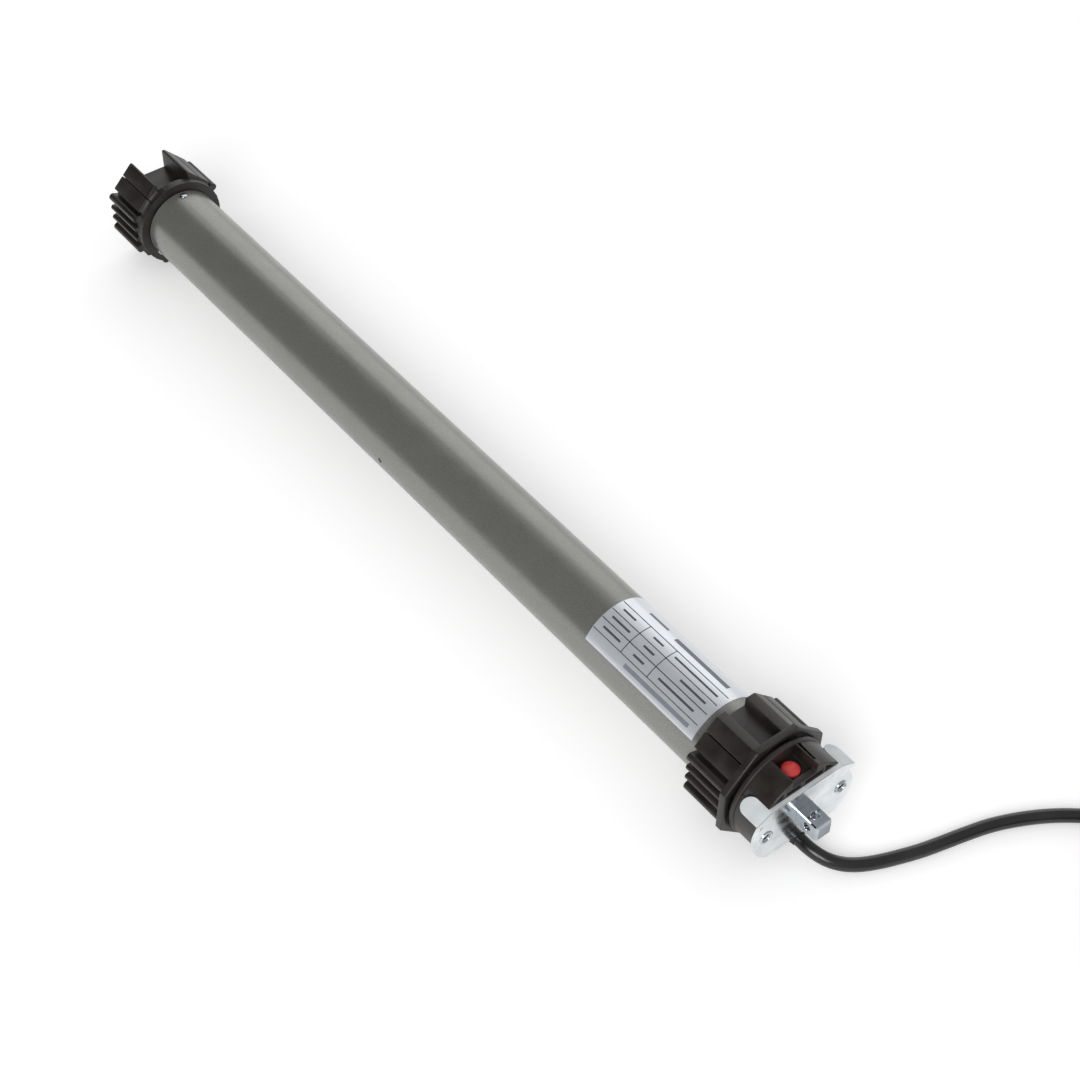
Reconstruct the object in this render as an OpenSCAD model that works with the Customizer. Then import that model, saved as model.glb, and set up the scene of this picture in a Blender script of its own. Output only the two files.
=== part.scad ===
// Tubular roller blind motor for an octagonal roller tube.
// +X runs along the motor axis from the drive wheel to the mounting head, +Z is up,
// and the origin is on the axis in the front face of the head's steel plate.

/* [Motor tube] */
// Outer diameter of the steel motor tube
tube_d = 45; // [44:0.1:48]
// Wall of the motor tube
tube_wall = 0.9; // [0.7:0.05:1.2]
// Length of the motor tube
tube_len = 527.5; // [520:0.5:700]
// Diameter of the open assembly holes in the tube
tube_hole_d = 3; // [2:0.1:4]

/* [Octagon ribs of crown and drive wheel] */
// Across flats of the rib tips, which fill the octagonal roller tube
rib_af = 58.4; // [57.6:0.1:59.6]
// Width of a plain rib
rib_w = 3.4; // [2.6:0.1:4]
// Width of the wider ribs on the octagon's corners
corner_rib_w = 4.8; // [4:0.1:5.6]
// Diameter of the core that carries the ribs
rib_core_d = 52.6; // [52:0.1:54]

/* [Idler crown] */
// Length of the crown with its flange
crown_len = 30; // [26:0.5:40]
// Across flats of the octagonal flange, on which the head end rests
flange_af = 63; // [62:0.1:66]
// Thickness of the flange
flange_t = 4; // [3.6:0.1:6]
// Width of the crown's keyway slot
crown_slot_w = 12.5; // [9:0.5:14]
// Thickness of the crown's wall under the keyway slot
crown_slot_wall = 1.6; // [1.2:0.1:2.2]
// Diameter of the dish in the flange's front face
dish_d = 58; // [54:0.5:60]
// Depth of the dish
dish_depth = 3; // [2:0.1:3.4]

/* [Drive wheel] */
// Length of the drive wheel
wheel_len = 34.5; // [32:0.5:45]
// Width of the drive wheel's keyway slot
wheel_slot_w = 21; // [16:0.5:22]
// Height of the slot's floor above the axis
wheel_slot_floor = 17; // [16.5:0.5:20]
// Diameter of the smooth ring that faces the motor tube
wheel_ring_d = 55.2; // [53.5:0.1:56]
// Length of the smooth ring
wheel_ring_t = 5; // [3:0.5:8]
// Wall of the wheel's outer shell and its floor under the slot
wheel_wall = 2.6; // [2:0.1:3.2]
// Thickness of the web that joins the shell to the hub
wheel_web_t = 6; // [4:0.5:10]
// Thickness of the stiffening ribs inside the wheel
wheel_stiffener_t = 2; // [1.4:0.1:3]
// Length of the wheel's seat on the output shaft
wheel_seat_len = 25; // [20:0.5:28]

/* [Head] */
// Diameter of the head body
head_d = 56.4; // [55:0.1:57]
// Depth of the head's flat underside below the axis
head_flat = 20; // [19:0.1:22]
// Diameter of the head's rear collar
collar_d = 58; // [57.4:0.1:60]
// Thickness of the collar
collar_t = 3; // [2:0.1:4]
// Distance from the plate's front face to the collar's rear face
head_depth = 21; // [20:0.5:26]
// Length of the neck on which the crown turns
neck_len = 10; // [8:0.5:14]
// Length of the spigot inside the motor tube
spigot_len = 19; // [12:0.5:24]
// Width of the cord channel under the head
channel_w = 23; // [18:0.5:26]
// Depth of the channel's roof below the axis
channel_roof = 16.5; // [16.2:0.1:17]

/* [Head plate and pin] */
// Thickness of the steel head plate
plate_t = 2.5; // [2:0.1:3]
// Width of the plate across its two lobes
plate_w = 62.6; // [61:0.1:66]
// Radius of each lobe
lobe_r = 19.4; // [17.5:0.1:22]
// Height of the plate's straight top edge above the axis
plate_top = 17.5; // [16.5:0.1:18]
// Depth of the plate's straight bottom edge below the axis
plate_bottom = 17.6; // [17:0.1:18]
// Distance between the two threaded fixing holes
fix_spacing = 48; // [46:0.1:50]
// Core diameter of the threaded fixing holes
fix_hole_d = 5.1; // [4.2:0.1:5.5]
// Width of the two arms bent back over the head
arm_w = 9.9; // [8:0.1:11]
// Length of the arms behind the plate's front face
arm_len = 15; // [12:0.5:16]
// Side of the square pin
pin_side = 10; // [9:0.1:10.5]
// Length of the square pin in front of the plate
pin_len = 14; // [12:0.5:20]
// Diameter of the two cross holes in the pin
cross_hole_d = 4.2; // [3:0.1:5]
// Distance from the plate to the cross holes
cross_hole_x = 7; // [6:0.1:8]

/* [Setting button] */
// Diameter of the red button
button_d = 9.4; // [8:0.1:10]
// Height of the button above its pocket
button_rise = 2.8; // [2.6:0.1:3.5]
// Travel of the button
button_travel = 1.5; // [1:0.1:1.6]
// Width of the pocket round the button
pocket_w = 15.4; // [13:0.1:16]
// Distance from the plate's front face to the pocket
pocket_front = 6.4; // [5.6:0.1:7]
// Height of the pocket's floor above the axis
pocket_floor = 18.8; // [18.2:0.1:20]

/* [Electric motor] */
// Free length for the leads between the motor and the run capacitor
motor_room = 33; // [5:1:60]
// Number of stator slots
stator_slots = 12; // [8:2:16]
// Diameter of the rotor
rotor_d = 22.4; // [20:0.1:24]
// Air gap between rotor and stator, on the radius
air_gap = 0.4; // [0.3:0.05:0.6]
// Diameter of the motor shaft
shaft_d = 8; // [7:0.1:9]
// Diameter of the brake's friction disc
brake_d = 30; // [26:0.5:34]

/* [Planetary gearbox] */
// Module of the gear teeth
gear_module = 1; // [0.9:0.01:1.08]
// Face width of the first stage
face_1 = 10; // [8:0.5:12]
// Face width of the second stage
face_2 = 14; // [10:0.5:16]
// Face width of the third stage
face_3 = 18; // [14:0.5:20]
// Diameter of the planet pins
planet_pin_d = 4.4; // [4:0.1:5]
// Diameter of the output shaft
output_d = 18; // [16:0.1:18.5]

/* [Cord and electronics] */
// Diameter of the supply cord
cord_d = 7.3; // [6.8:0.1:7.5]
// Number of the stored coil's layers
coil_layers = 4; // [2, 4]
// Number of turns in each layer of the coil
coil_turns = 1.25; // [1:0.25:3]
// Radius of the coil's outermost turn at the cord's middle
coil_out_r = 47.7; // [44:0.1:52]
// Length of the stripped cores at the cord's end
core_len = 45; // [30:1:60]
// Length of the control board
board_len = 128; // [110:1:132]
// Diameter of the run capacitor
capacitor_d = 30; // [26:0.5:34]
// Length of the run capacitor
capacitor_len = 54; // [45:1:58]

/* [Hidden] */

// Clearances: running fit and seat on the radius, gap between flat faces, small overlap of a cut
run_gap = 0.06;
seat_gap = 0.04;
face_gap = 0.3;
eps = 0.01;

// Stations of tube, crown and wheel along the axis
tube_r = tube_d / 2;
bore_r = tube_r - tube_wall;
inner_r = bore_r - seat_gap;
tube_near_x = -head_depth - neck_len;
tube_far_x = tube_near_x - tube_len;
crown_front_x = -head_depth - 1;
crown_rear_x = crown_front_x - crown_len;
wheel_near_x = tube_far_x - 1;
wheel_far_x = wheel_near_x - wheel_len;
floor_z = -flange_af / 2;

// Head: body between collar and plate, hollow for the switch, pocket for the button
body_front_x = -plate_t;
body_rear_x = -head_depth + collar_t;
pocket_front_x = -pocket_front;
button_x = (body_rear_x + pocket_front_x) / 2;
button_flange_r = button_d / 2 + 1.1;
hollow_r = 16;
hollow_roof = 14.6;
hollow_floor = 15;
hollow_front_x = button_x + button_flange_r + 0.4;
rivet_head = pin_side + 4;
rivet_head_t = 2.2;
channel_rear_x = -head_depth + 1;
cord_exit_z = -plate_bottom - cord_d / 2 - 0.45;
cord_inner_x = channel_rear_x + 4;

// Controls: switch board in the head, control board on its carrier, run capacitor
board_t = 1.6;
switch_z = 1.6;
switch_top = switch_z + board_t + 3.4;
carrier_near_x = tube_near_x - spigot_len - 4;
carrier_ring_t = 5;
carrier_far_x = carrier_near_x - board_len - 2 * carrier_ring_t - 0.4;
rail_y = 17;
pcb_z = -6;
pcb_top = pcb_z + board_t;
terminal_near_x = carrier_near_x - carrier_ring_t - 4;
cradle_near_x = carrier_far_x - 3;
cradle_far_x = cradle_near_x - capacitor_len - 4;

// Gears: tooth counts, involute flanks at a pressure angle of 25 degrees
sun_teeth = 9;
planet_teeth = 12;
ring_teeth = sun_teeth + 2 * planet_teeth;
pressure = 25;
addendum = 0.85 * gear_module;
dedendum = 1.1 * gear_module;
backlash = 0.16;
center_r = gear_module * (sun_teeth + planet_teeth) / 2;
ring_tip_r = gear_module * ring_teeth / 2 - addendum;
sun_tip_r = gear_module * sun_teeth / 2 + addendum;
carrier_r = ring_tip_r - 1.2;
sun_bore_r = 1.8;

// Stations of the gearbox, counted from the tube's far end
bush_near_x = tube_far_x + 22;
gap_x = 1;
output_disc_t = 7;
disc_t = 4;
ring_far_x = bush_near_x + 1;
disc_3_x = ring_far_x + 0.5;
planet_3_x = disc_3_x + output_disc_t + gap_x;
disc_2_x = planet_3_x + face_3 + gap_x;
planet_2_x = disc_2_x + disc_t + gap_x;
disc_1_x = planet_2_x + face_2 + gap_x;
planet_1_x = disc_1_x + disc_t + gap_x;
ring_near_x = planet_1_x + face_1 + gap_x;
plate_near_x = ring_near_x + 3;

// Stations of brake and motor
shaft_r = shaft_d / 2;
coil_far_x = plate_near_x + 2;
coil_near_x = coil_far_x + 12;
armature_t = 4;
armature_x = coil_near_x + 0.5;
disc_x = armature_x + armature_t + 0.1;
brake_disc_t = 4;
bell_b_x = disc_x + brake_disc_t + 0.1;
bell_t = 12;
bearing_r = shaft_r + 5.5;
bearing_t = 6;
winding_len = 9;
stator_far_x = bell_b_x + bell_t + winding_len;
stator_near_x = cradle_far_x - motor_room - bell_t - winding_len;
bell_a_x = stator_near_x + winding_len;
bearing_b_x = bell_b_x + bell_t - bearing_t;
bearing_a_x = bell_a_x;
shaft_near_x = bearing_a_x + bearing_t + 2;

// Prism along X: the outline's own x runs along Y and its y along Z
module prism(x0, x1) {
    translate([x0, 0, 0]) rotate([90, 0, 90]) linear_extrude(x1 - x0) children();
}

module rod(x0, x1, r) {
    translate([x0, 0, 0]) rotate([0, 90, 0]) cylinder(h = x1 - x0, r = r, $fn = 96);
}

// Profile of [radius, x] points turned about the motor axis
module turned(points) {
    rotate([0, 90, 0]) rotate_extrude($fn = 96) polygon(points);
}

// Children stand on the tube's surface, with +Z outwards, at the angle a from +Y
module around(x, a) {
    translate([x, 0, 0]) rotate([a - 90, 0, 0]) children();
}

module octagon(af) {
    rotate(22.5) circle(r = af / 2 / cos(22.5), $fn = 8);
}

module sector(from, to, r) {
    polygon([[0, 0], [r * cos(from), r * sin(from)], [r * cos(to), r * sin(to)]]);
}

// Radius of an octagon with a flat on top, at the angle a
function oct_r(af, a) = af / 2 / cos((a + 22.5) % 45 - 22.5);

// Outline shared by crown and drive wheel: smooth panels beside the keyway slot,
// then ribs with round tips every 15 degrees, the wide ones on the octagon's corners
panel_near = [52, 82];
panel_far = [32.7, 51];
first_rib = 157.5;

module rib(a, w) {
    tip = oct_r(rib_af, a) - w / 2;
    root = rib_core_d / 2 - 2;
    rotate(a) {
        translate([root, -w / 2]) square([tip - root, w]);
        translate([tip, 0]) circle(d = w, $fn = 24);
    }
}

module rib_outline(slot_w, slot_floor) {
    difference() {
        union() {
            circle(d = rib_core_d, $fn = 96);
            intersection() {
                octagon(rib_af);
                for (side = [0, 1]) mirror([side, 0]) {
                    sector(panel_near[0], panel_near[1], rib_af);
                    sector(panel_far[0], panel_far[1], rib_af);
                }
            }
            for (k = [0:15]) rib(first_rib + 15 * k, k % 3 == 0 ? corner_rib_w : rib_w);
        }
        translate([-slot_w / 2, slot_floor]) square([slot_w, rib_af]);
    }
}

// Motor tube with two open holes and the holes of its rivets
hole_angle = 183.5;
motor_hole_x = stator_near_x - 7.6;
end_hole_x = tube_far_x + 6;
rivet_x = tube_far_x + 4.2;
rivet_angles = [87, 207, 327];
rivet_r = 1.5;

module motor_tube() color([0.57, 0.57, 0.55]) difference() {
    rod(tube_far_x, tube_near_x, tube_r);
    rod(tube_far_x - 1, tube_near_x + 1, bore_r);
    for (x = [motor_hole_x, end_hole_x]) around(x, hole_angle)
        cylinder(h = tube_r + 1, d = tube_hole_d, $fn = 24);
    for (a = rivet_angles) around(rivet_x, a)
        cylinder(h = tube_r + 1, r = rivet_r + seat_gap, $fn = 24);
}

// Idler crown, free to turn on the tube's end and the head's neck
bead_x = crown_front_x - dish_depth - 2.5;
bead_h = 0.5;

module crown() color([0.17, 0.16, 0.16]) difference() {
    union() {
        prism(crown_rear_x, crown_front_x - flange_t + eps)
            rib_outline(crown_slot_w, tube_r + crown_slot_wall);
        prism(crown_front_x - flange_t, crown_front_x) octagon(flange_af);
    }
    rod(crown_rear_x - 1, crown_front_x + 1, tube_r + run_gap);
    turned([[0, crown_front_x - dish_depth], [tube_r + 1.5, crown_front_x - dish_depth],
            [dish_d / 2, crown_front_x + eps], [0, crown_front_x + eps]]);
    turned([[0, bead_x - 1.2], [tube_r, bead_x - 1.2], [tube_r + bead_h + run_gap, bead_x - 0.6],
            [tube_r + bead_h + run_gap, bead_x + 0.6], [tube_r, bead_x + 1.2], [0, bead_x + 1.2]]);
}

// Hollow for the switch board and the leads, channel for the cord, and the leads' way up
module head_hollow() {
    intersection() {
        rod(tube_near_x - spigot_len - 1, hollow_front_x, hollow_r);
        translate([tube_near_x - spigot_len - 2, -hollow_r, -hollow_floor])
            cube([spigot_len + neck_len + head_depth, 2 * hollow_r, hollow_floor + hollow_roof]);
    }
    translate([channel_rear_x, -channel_w / 2, -head_d])
        cube([head_depth, channel_w, head_d - channel_roof]);
    translate([channel_rear_x, -4, -channel_roof - 1]) cube([8, 8, 4]);
}

// Neck of the head: spigot in the tube, neck with the bead that holds the crown, and collar
collar_edge = 0.6;

module head_neck() color([0.19, 0.17, 0.17]) difference() {
    union() {
        rod(tube_near_x - spigot_len, tube_near_x + eps, inner_r);
        rod(tube_near_x, -head_depth + eps, tube_r);
        turned([[0, bead_x - 1], [tube_r, bead_x - 1], [tube_r + bead_h, bead_x - 0.4],
                [tube_r + bead_h, bead_x + 0.4], [tube_r, bead_x + 1], [0, bead_x + 1]]);
        turned([[0, -head_depth], [collar_d / 2 - collar_edge, -head_depth],
                [collar_d / 2, -head_depth + collar_edge], [collar_d / 2, body_rear_x - collar_edge],
                [collar_d / 2 - collar_edge, body_rear_x], [0, body_rear_x]]);
    }
    head_hollow();
}

// Head body in front of the collar, round with a flat underside
core_depth = 1.9;
core_low = plate_top + 0.9;
groove_w = 1.2;
front_wall_top = pocket_floor + 3;

module head_outline() difference() {
    circle(d = head_d, $fn = 128);
    translate([-head_d, -head_d]) square([2 * head_d, head_d - head_flat]);
}

// Cored recesses in the front face above the plate's top edge
module face_cores() intersection() {
    circle(d = head_d - 4, $fn = 96);
    union() {
        for (span = [[-11.2, -2.2], [0.4, 11.6]])
            translate([span[0], core_low]) square([span[1] - span[0], front_wall_top - 0.9 - core_low]);
        for (span = [[-19, -13.4], [13.6, 18.6]])
            translate([span[0], core_low]) square([span[1] - span[0], head_d]);
    }
}

module head_body() color([0.19, 0.17, 0.17]) difference() {
    prism(body_rear_x, body_front_x) head_outline();
    head_hollow();
    // Pocket and bore of the button, the groove beside the pocket and its lower front wall
    translate([body_rear_x - 1, -pocket_w / 2, pocket_floor])
        cube([pocket_front_x - body_rear_x + 1, pocket_w, head_d / 2]);
    translate([button_x, 0, 0]) cylinder(h = head_d / 2, r = button_d / 2 + run_gap, $fn = 64);
    translate([body_rear_x - 1, pocket_w / 2 + groove_w, pocket_floor + 2])
        cube([pocket_front_x - body_rear_x + 1, groove_w, head_d / 2]);
    translate([pocket_front_x - 1, -pocket_w / 2, front_wall_top])
        cube([head_depth, pocket_w, head_d / 2]);
    prism(body_front_x - core_depth, body_front_x + 1) face_cores();
    // Seat of the pin's rivet head and the beds of the plate's arms
    translate([body_front_x - rivet_head_t - 0.1, -rivet_head / 2 - 0.1, -rivet_head / 2 - 0.1])
        cube([rivet_head_t + 1, rivet_head + 0.2, rivet_head + 0.2]);
    for (side = [0, 1]) mirror([0, side, 0]) arm(0.15, head_d / 2);
}

// Steel head plate with two lobes, two threaded holes and two arms bent back
arm_slope = -26.3;
arm_corner = [22.2, plate_top];
arm_dir = [cos(arm_slope), sin(arm_slope)];
arm_out = [-sin(arm_slope), cos(arm_slope)];
arm_end = arm_corner + arm_w * arm_dir;
lobe_c = [plate_w / 2 - lobe_r, -1];
notch_top = arm_end - plate_t * arm_out;
notch_low = notch_top[1] - 0.6;
notch_in = notch_top[0] - 2.6;

module plate_outline() for (side = [0, 1]) mirror([side, 0]) {
    polygon([[-eps, -plate_bottom], [-eps, plate_top], arm_corner, arm_end, notch_top,
             [notch_in, notch_top[1]], [notch_in, notch_low - 1], [arm_corner[0] - 2, -plate_bottom]]);
    intersection() {
        translate(lobe_c) circle(r = lobe_r, $fn = 128);
        translate([0, -plate_bottom]) square([plate_w, plate_bottom + notch_low]);
    }
}

// One arm with a round end, widened all round by grow and thickened outwards by more
module arm(grow, more) {
    r = arm_w / 2;
    translate([0, arm_corner[0], arm_corner[1]]) rotate([arm_slope, 0, 0])
        translate([0, 0, -plate_t - grow / 2]) linear_extrude(plate_t + grow / 2 + more) {
            translate([-arm_len + r, -grow]) square([arm_len - r - eps, arm_w + 2 * grow]);
            translate([-arm_len + r, r]) circle(r = r + grow, $fn = 64);
        }
}

module head_plate() color([0.86, 0.87, 0.9]) difference() {
    union() {
        prism(-plate_t, 0) plate_outline();
        for (side = [0, 1]) mirror([0, side, 0]) arm(0, 0);
    }
    translate([-plate_t - 1, -pin_side / 2 - seat_gap, -pin_side / 2 - seat_gap])
        cube([plate_t + 2, pin_side + 2 * seat_gap, pin_side + 2 * seat_gap]);
    for (side = [-1, 1]) translate([-plate_t - 1, side * fix_spacing / 2, 0]) rotate([0, 90, 0])
        cylinder(h = plate_t + 2, d = fix_hole_d, $fn = 48);
}

// Square pin, riveted into the plate, with a chamfered end and two cross holes
pin_edge = 0.6;
pin_end_len = 1.6;
pin_end_in = 1.1;

module pin_side_view() {
    s = pin_side / 2;
    polygon([[-plate_t - eps, -s], [pin_len - pin_end_len, -s], [pin_len, -s + pin_end_in],
             [pin_len, s - pin_end_in], [pin_len - pin_end_len, s], [-plate_t - eps, s]]);
}

module square_pin() color([0.8, 0.82, 0.85]) {
    s = pin_side / 2;
    difference() {
        union() {
            intersection() {
                prism(-plate_t - 1, pin_len + 1) intersection() {
                    square(pin_side, center = true);
                    rotate(45) square((pin_side - pin_edge) * sqrt(2), center = true);
                }
                linear_extrude(2 * pin_side, center = true) pin_side_view();
                rotate([90, 0, 0]) linear_extrude(2 * pin_side, center = true) pin_side_view();
            }
            translate([body_front_x - rivet_head_t, -rivet_head / 2, -rivet_head / 2])
                cube([rivet_head_t, rivet_head, rivet_head]);
        }
        for (a = [0, 90]) rotate([a, 0, 0]) translate([cross_hole_x, 0, -s - 1])
            cylinder(h = pin_side + 2, d = cross_hole_d, $fn = 48);
        for (a = [0:90:270]) rotate([a, 0, 0]) translate([cross_hole_x, 0, s - 0.4])
            cylinder(h = 0.4 + eps, d1 = cross_hole_d, d2 = cross_hole_d + 0.8, $fn = 48);
    }
}

// Red setting button: domed cap, flange under the roof and stem above the switch
button_top = pocket_floor + button_rise;
dome_h = 1.3;
flange_top = hollow_roof - 0.2;
button_flange_t = 1.4;
stem_r = 1.6;

module set_button() color([0.86, 0.2, 0.2]) translate([button_x, 0, 0]) {
    r = button_d / 2;
    low = switch_top + button_travel + 0.2;
    rotate_extrude($fn = 64) polygon(concat(
        [[0, low], [stem_r, low], [stem_r, flange_top - button_flange_t],
         [button_flange_r, flange_top - button_flange_t], [button_flange_r, flange_top],
         [r, flange_top]],
        [for (a = [0:9:90]) [r * pow(cos(a), 0.6), button_top - dome_h + dome_h * sin(a)]]));
}

// Tube swept along points with n sides, every ring square to the path
function unit(v) = v / norm(v);
function tangent(p, i) =
    unit(i == 0 ? p[1] - p[0] : i == len(p) - 1 ? p[i] - p[i - 1] : p[i + 1] - p[i - 1]);
function side_of(t) = abs(t[2]) > 0.95 ? unit(cross(t, [0, 1, 0])) : unit(cross(t, [0, 0, 1]));
function tube_ring(c, t, r, n) = let (s = side_of(t), u = cross(s, t))
    [for (k = [0:n - 1]) let (a = 360 * (k + 0.5) / n) c + r * (cos(a) * s + sin(a) * u)];

module swept_tube(path, r, n) {
    m = len(path);
    points = [for (i = [0:m - 1]) each tube_ring(path[i], tangent(path, i), r, n)];
    sides = [for (i = [0:m - 2], k = [0:n - 1]) let (a = i * n + k, b = i * n + (k + 1) % n)
        each [[a, b, b + n], [a, b + n, a + n]]];
    end = (m - 1) * n;
    caps = [for (k = [1:n - 2]) each [[0, k + 1, k], [end, end + k, end + k + 1]]];
    polyhedron(points = points, faces = concat(sides, caps), convexity = 6);
}

// Helix of radius r and height h from the point c, along X or along Z
function helix(c, r, h, turns, along_x) = [for (i = [0:turns * 12])
    let (a = 30 * i, w = h * i / turns / 12)
    along_x ? c + [w, r * cos(a), r * sin(a)] : c + [r * cos(a), r * sin(a), w]];

spring_wire_r = 0.35;
spring_low = switch_z + board_t + spring_wire_r + 0.1;
spring_high = flange_top - button_flange_t - spring_wire_r - 0.1;

module button_spring() color([0.7, 0.72, 0.74])
    swept_tube(helix([button_x, 0, spring_low], button_flange_r - 0.7, spring_high - spring_low, 4, false),
               spring_wire_r, 6);

// Small board with the push switch under the button, on two feet
foot_y = 7.5;
foot_r = 1.5;

module switch_board() color([0.1, 0.35, 0.2]) {
    drop = sqrt(pow(hollow_r - 0.05, 2) - pow(foot_y + foot_r, 2));
    translate([button_x - 10, -9, switch_z]) cube([15, 18, board_t]);
    translate([button_x - 3, -3, switch_z + board_t]) cube([6, 6, 2.6]);
    translate([button_x, 0, switch_z + board_t + 2.6 - eps])
        cylinder(h = switch_top - switch_z - board_t - 2.6, r = stem_r, $fn = 32);
    for (y = [-foot_y, foot_y]) translate([button_x - 6, y, -drop])
        cylinder(h = switch_z + drop + eps, r = foot_r, $fn = 24);
}

// Tapered strain relief that holds the cord in the head's channel, with its cross plate
gland_r = cord_d / 2 + 1.5;
gland_end_r = cord_d / 2 + 0.4;

module cable_gland() color([0.12, 0.12, 0.12]) difference() {
    union() {
        translate([channel_rear_x, 0, cord_exit_z]) rotate([0, 90, 0]) {
            cylinder(h = 9, r = gland_r, $fn = 64);
            translate([0, 0, 9 - eps])
                cylinder(h = -channel_rear_x - 9 + eps, r1 = gland_r, r2 = gland_end_r, $fn = 64);
        }
        translate([channel_rear_x + 4.5, -channel_w / 2 + 0.1, cord_exit_z - 1.5])
            cube([4, channel_w - 0.2, -channel_roof - cord_exit_z + 1.5]);
    }
    translate([channel_rear_x - 1, 0, cord_exit_z]) rotate([0, 90, 0])
        cylinder(h = head_depth + 2, r = cord_d / 2 + 0.1, $fn = 64);
    translate([channel_rear_x - 1, -3.6, cord_exit_z])
        cube([cord_inner_x - channel_rear_x + 0.8, 7.2, gland_r + 1]);
}

// Route of the cord from the strain relief over the surface to the stored coil
lay_z = floor_z + cord_d / 2 + 0.1;
route = [
    [cord_inner_x, 0, cord_exit_z], [-8, 0, cord_exit_z], [0, 0, cord_exit_z - 0.1],
    [8, 1, cord_exit_z - 1.3], [15, 4, cord_exit_z - 3.2], [21, 9, lay_z + 1.3],
    [26, 16, lay_z + 0.3], [30.5, 25, lay_z], [34.5, 35, lay_z], [38, 45, lay_z],
    [41, 56, lay_z], [44, 68, lay_z], [48, 82, lay_z], [54, 96, lay_z], [62, 110, lay_z],
    [72, 123, lay_z], [84, 135, lay_z], [97, 146, lay_z], [110, 157, lay_z]];

// Catmull-Rom points through the route, so that the bends are smooth
function spline_point(a, b, c, d, t) =
    0.5 * ((2 * b) + (c - a) * t + (2 * a - 5 * b + 4 * c - d) * t * t
           + (3 * b - a - 3 * c + d) * t * t * t);
function spline(p, steps) = concat(
    [for (i = [0:len(p) - 2], k = [0:steps - 1])
        spline_point(p[max(i - 1, 0)], p[i], p[i + 1], p[min(i + 2, len(p) - 1)], k / steps)],
    [p[len(p) - 1]]);
function path_len(p, i = 1) = i >= len(p) ? 0 : norm(p[i] - p[i - 1]) + path_len(p, i + 1);

free_path = spline(route, 2);

module supply_cord() color([0.08, 0.08, 0.08]) swept_tube(free_path, cord_d / 2, 8);

// Stored coil: its layers spiral in and out by turns, and it climbs to the next one in the
// half turn where the spiral reverses
coil_start = free_path[len(free_path) - 1];
coil_dir = unit(coil_start - free_path[len(free_path) - 2]);
coil_pitch = cord_d + 0.65;
coil_in_r = coil_out_r - coil_turns * coil_pitch;
coil_center = coil_start + cord_d * coil_dir + coil_out_r * [coil_dir[1], -coil_dir[0], 0];
coil_angle = atan2(coil_dir[0], -coil_dir[1]);
climb = 0.5;
climb_bulge = 1.2;
layer_turns = coil_turns + climb;
coil_total = coil_layers * layer_turns - climb;

// Offset from the coil's centre at radius r and height z, after t turns in all
function coil_offset(t, r, z) = let (a = coil_angle - 360 * t) [r * cos(a), r * sin(a), z];

// Radius and height on layer k, with u turns made in it
function climb_part(u) = 180 * max(u - coil_turns, 0) / climb;
function coil_run(u) = coil_pitch * min(u, coil_turns) + climb_bulge * sin(climb_part(u));
function coil_r(k, u) = k % 2 == 0 ? coil_out_r - coil_run(u) : coil_in_r + coil_run(u);
function coil_z(k, u) = coil_pitch * (k + (1 - cos(climb_part(u))) / 2);
function coil_point(t) =
    let (k = min(floor(t / layer_turns), coil_layers - 1), u = t - k * layer_turns)
    coil_center + coil_offset(t, coil_r(k, u), coil_z(k, u));
coil_steps = round(24 * coil_total);
coil_end = coil_point(coil_total);
coil_tail = cord_d * coil_offset(coil_total + 0.25, 1, 0);
coil_path = concat([coil_start + eps * coil_dir],
                   [for (i = [0:coil_steps]) coil_point(i * coil_total / coil_steps)],
                   [coil_end + coil_tail]);

module cord_coil() color([0.08, 0.08, 0.08]) swept_tube(coil_path, cord_d / 2, 6);

// Least gap of the coil to itself, on points more than half a turn apart, and the cord's lengths
coil_gap = min([for (i = [1:coil_steps - 14], j = [i + 14:coil_steps])
    norm(coil_path[i] - coil_path[j])]) - cord_d;
echo(coil_gap = coil_gap, free = path_len(free_path), coil = path_len(coil_path), end = core_len);

// Stripped cores that go on beside the coil's last turn
core_d = 2.4;
core_gap = 0.0002;
core_colors = [[0.35, 0.2, 0.1], [0.1, 0.1, 0.1], [0.1, 0.3, 0.7], [0.4, 0.6, 0.1]];

module cord_cores() for (k = [0:3]) color(core_colors[k]) {
    side = (k % 2 - 0.5) * (core_d + 0.2);
    up = (floor(k / 2) - 0.5) * (core_d + 0.2);
    top = coil_z(coil_layers - 1, 0) + up;
    span = core_len / (2 * PI * coil_out_r);
    swept_tube([for (i = [0:6])
        coil_center + coil_tail + coil_offset(coil_total + core_gap + span * i / 6, coil_out_r + side, top)],
        core_d / 2, 6);
}

// Insulated leads from the cord's inner end through the head to the board's terminals
lead_r = 0.75;

module lead_wires() for (k = [0:3]) color(core_colors[k]) {
    y = 1.8 * (k - 1.5);
    up_x = channel_rear_x + 1;
    swept_tube(spline([
        [cord_inner_x - 0.05, y, cord_exit_z], [cord_inner_x - 1.6, y, cord_exit_z + 0.5],
        [up_x + 0.3, y, cord_exit_z + 2.2], [up_x, y, -channel_roof], [up_x - 0.4, y, -channel_roof + 2],
        [up_x - 2.6, y, -12.6], [up_x - 8, y, -11], [tube_near_x - spigot_len + 6, y, -8],
        [carrier_near_x, y, -3], [terminal_near_x + 4, y, -1], [terminal_near_x + 0.05, y, -1]], 3),
        lead_r, 6);
}

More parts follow.
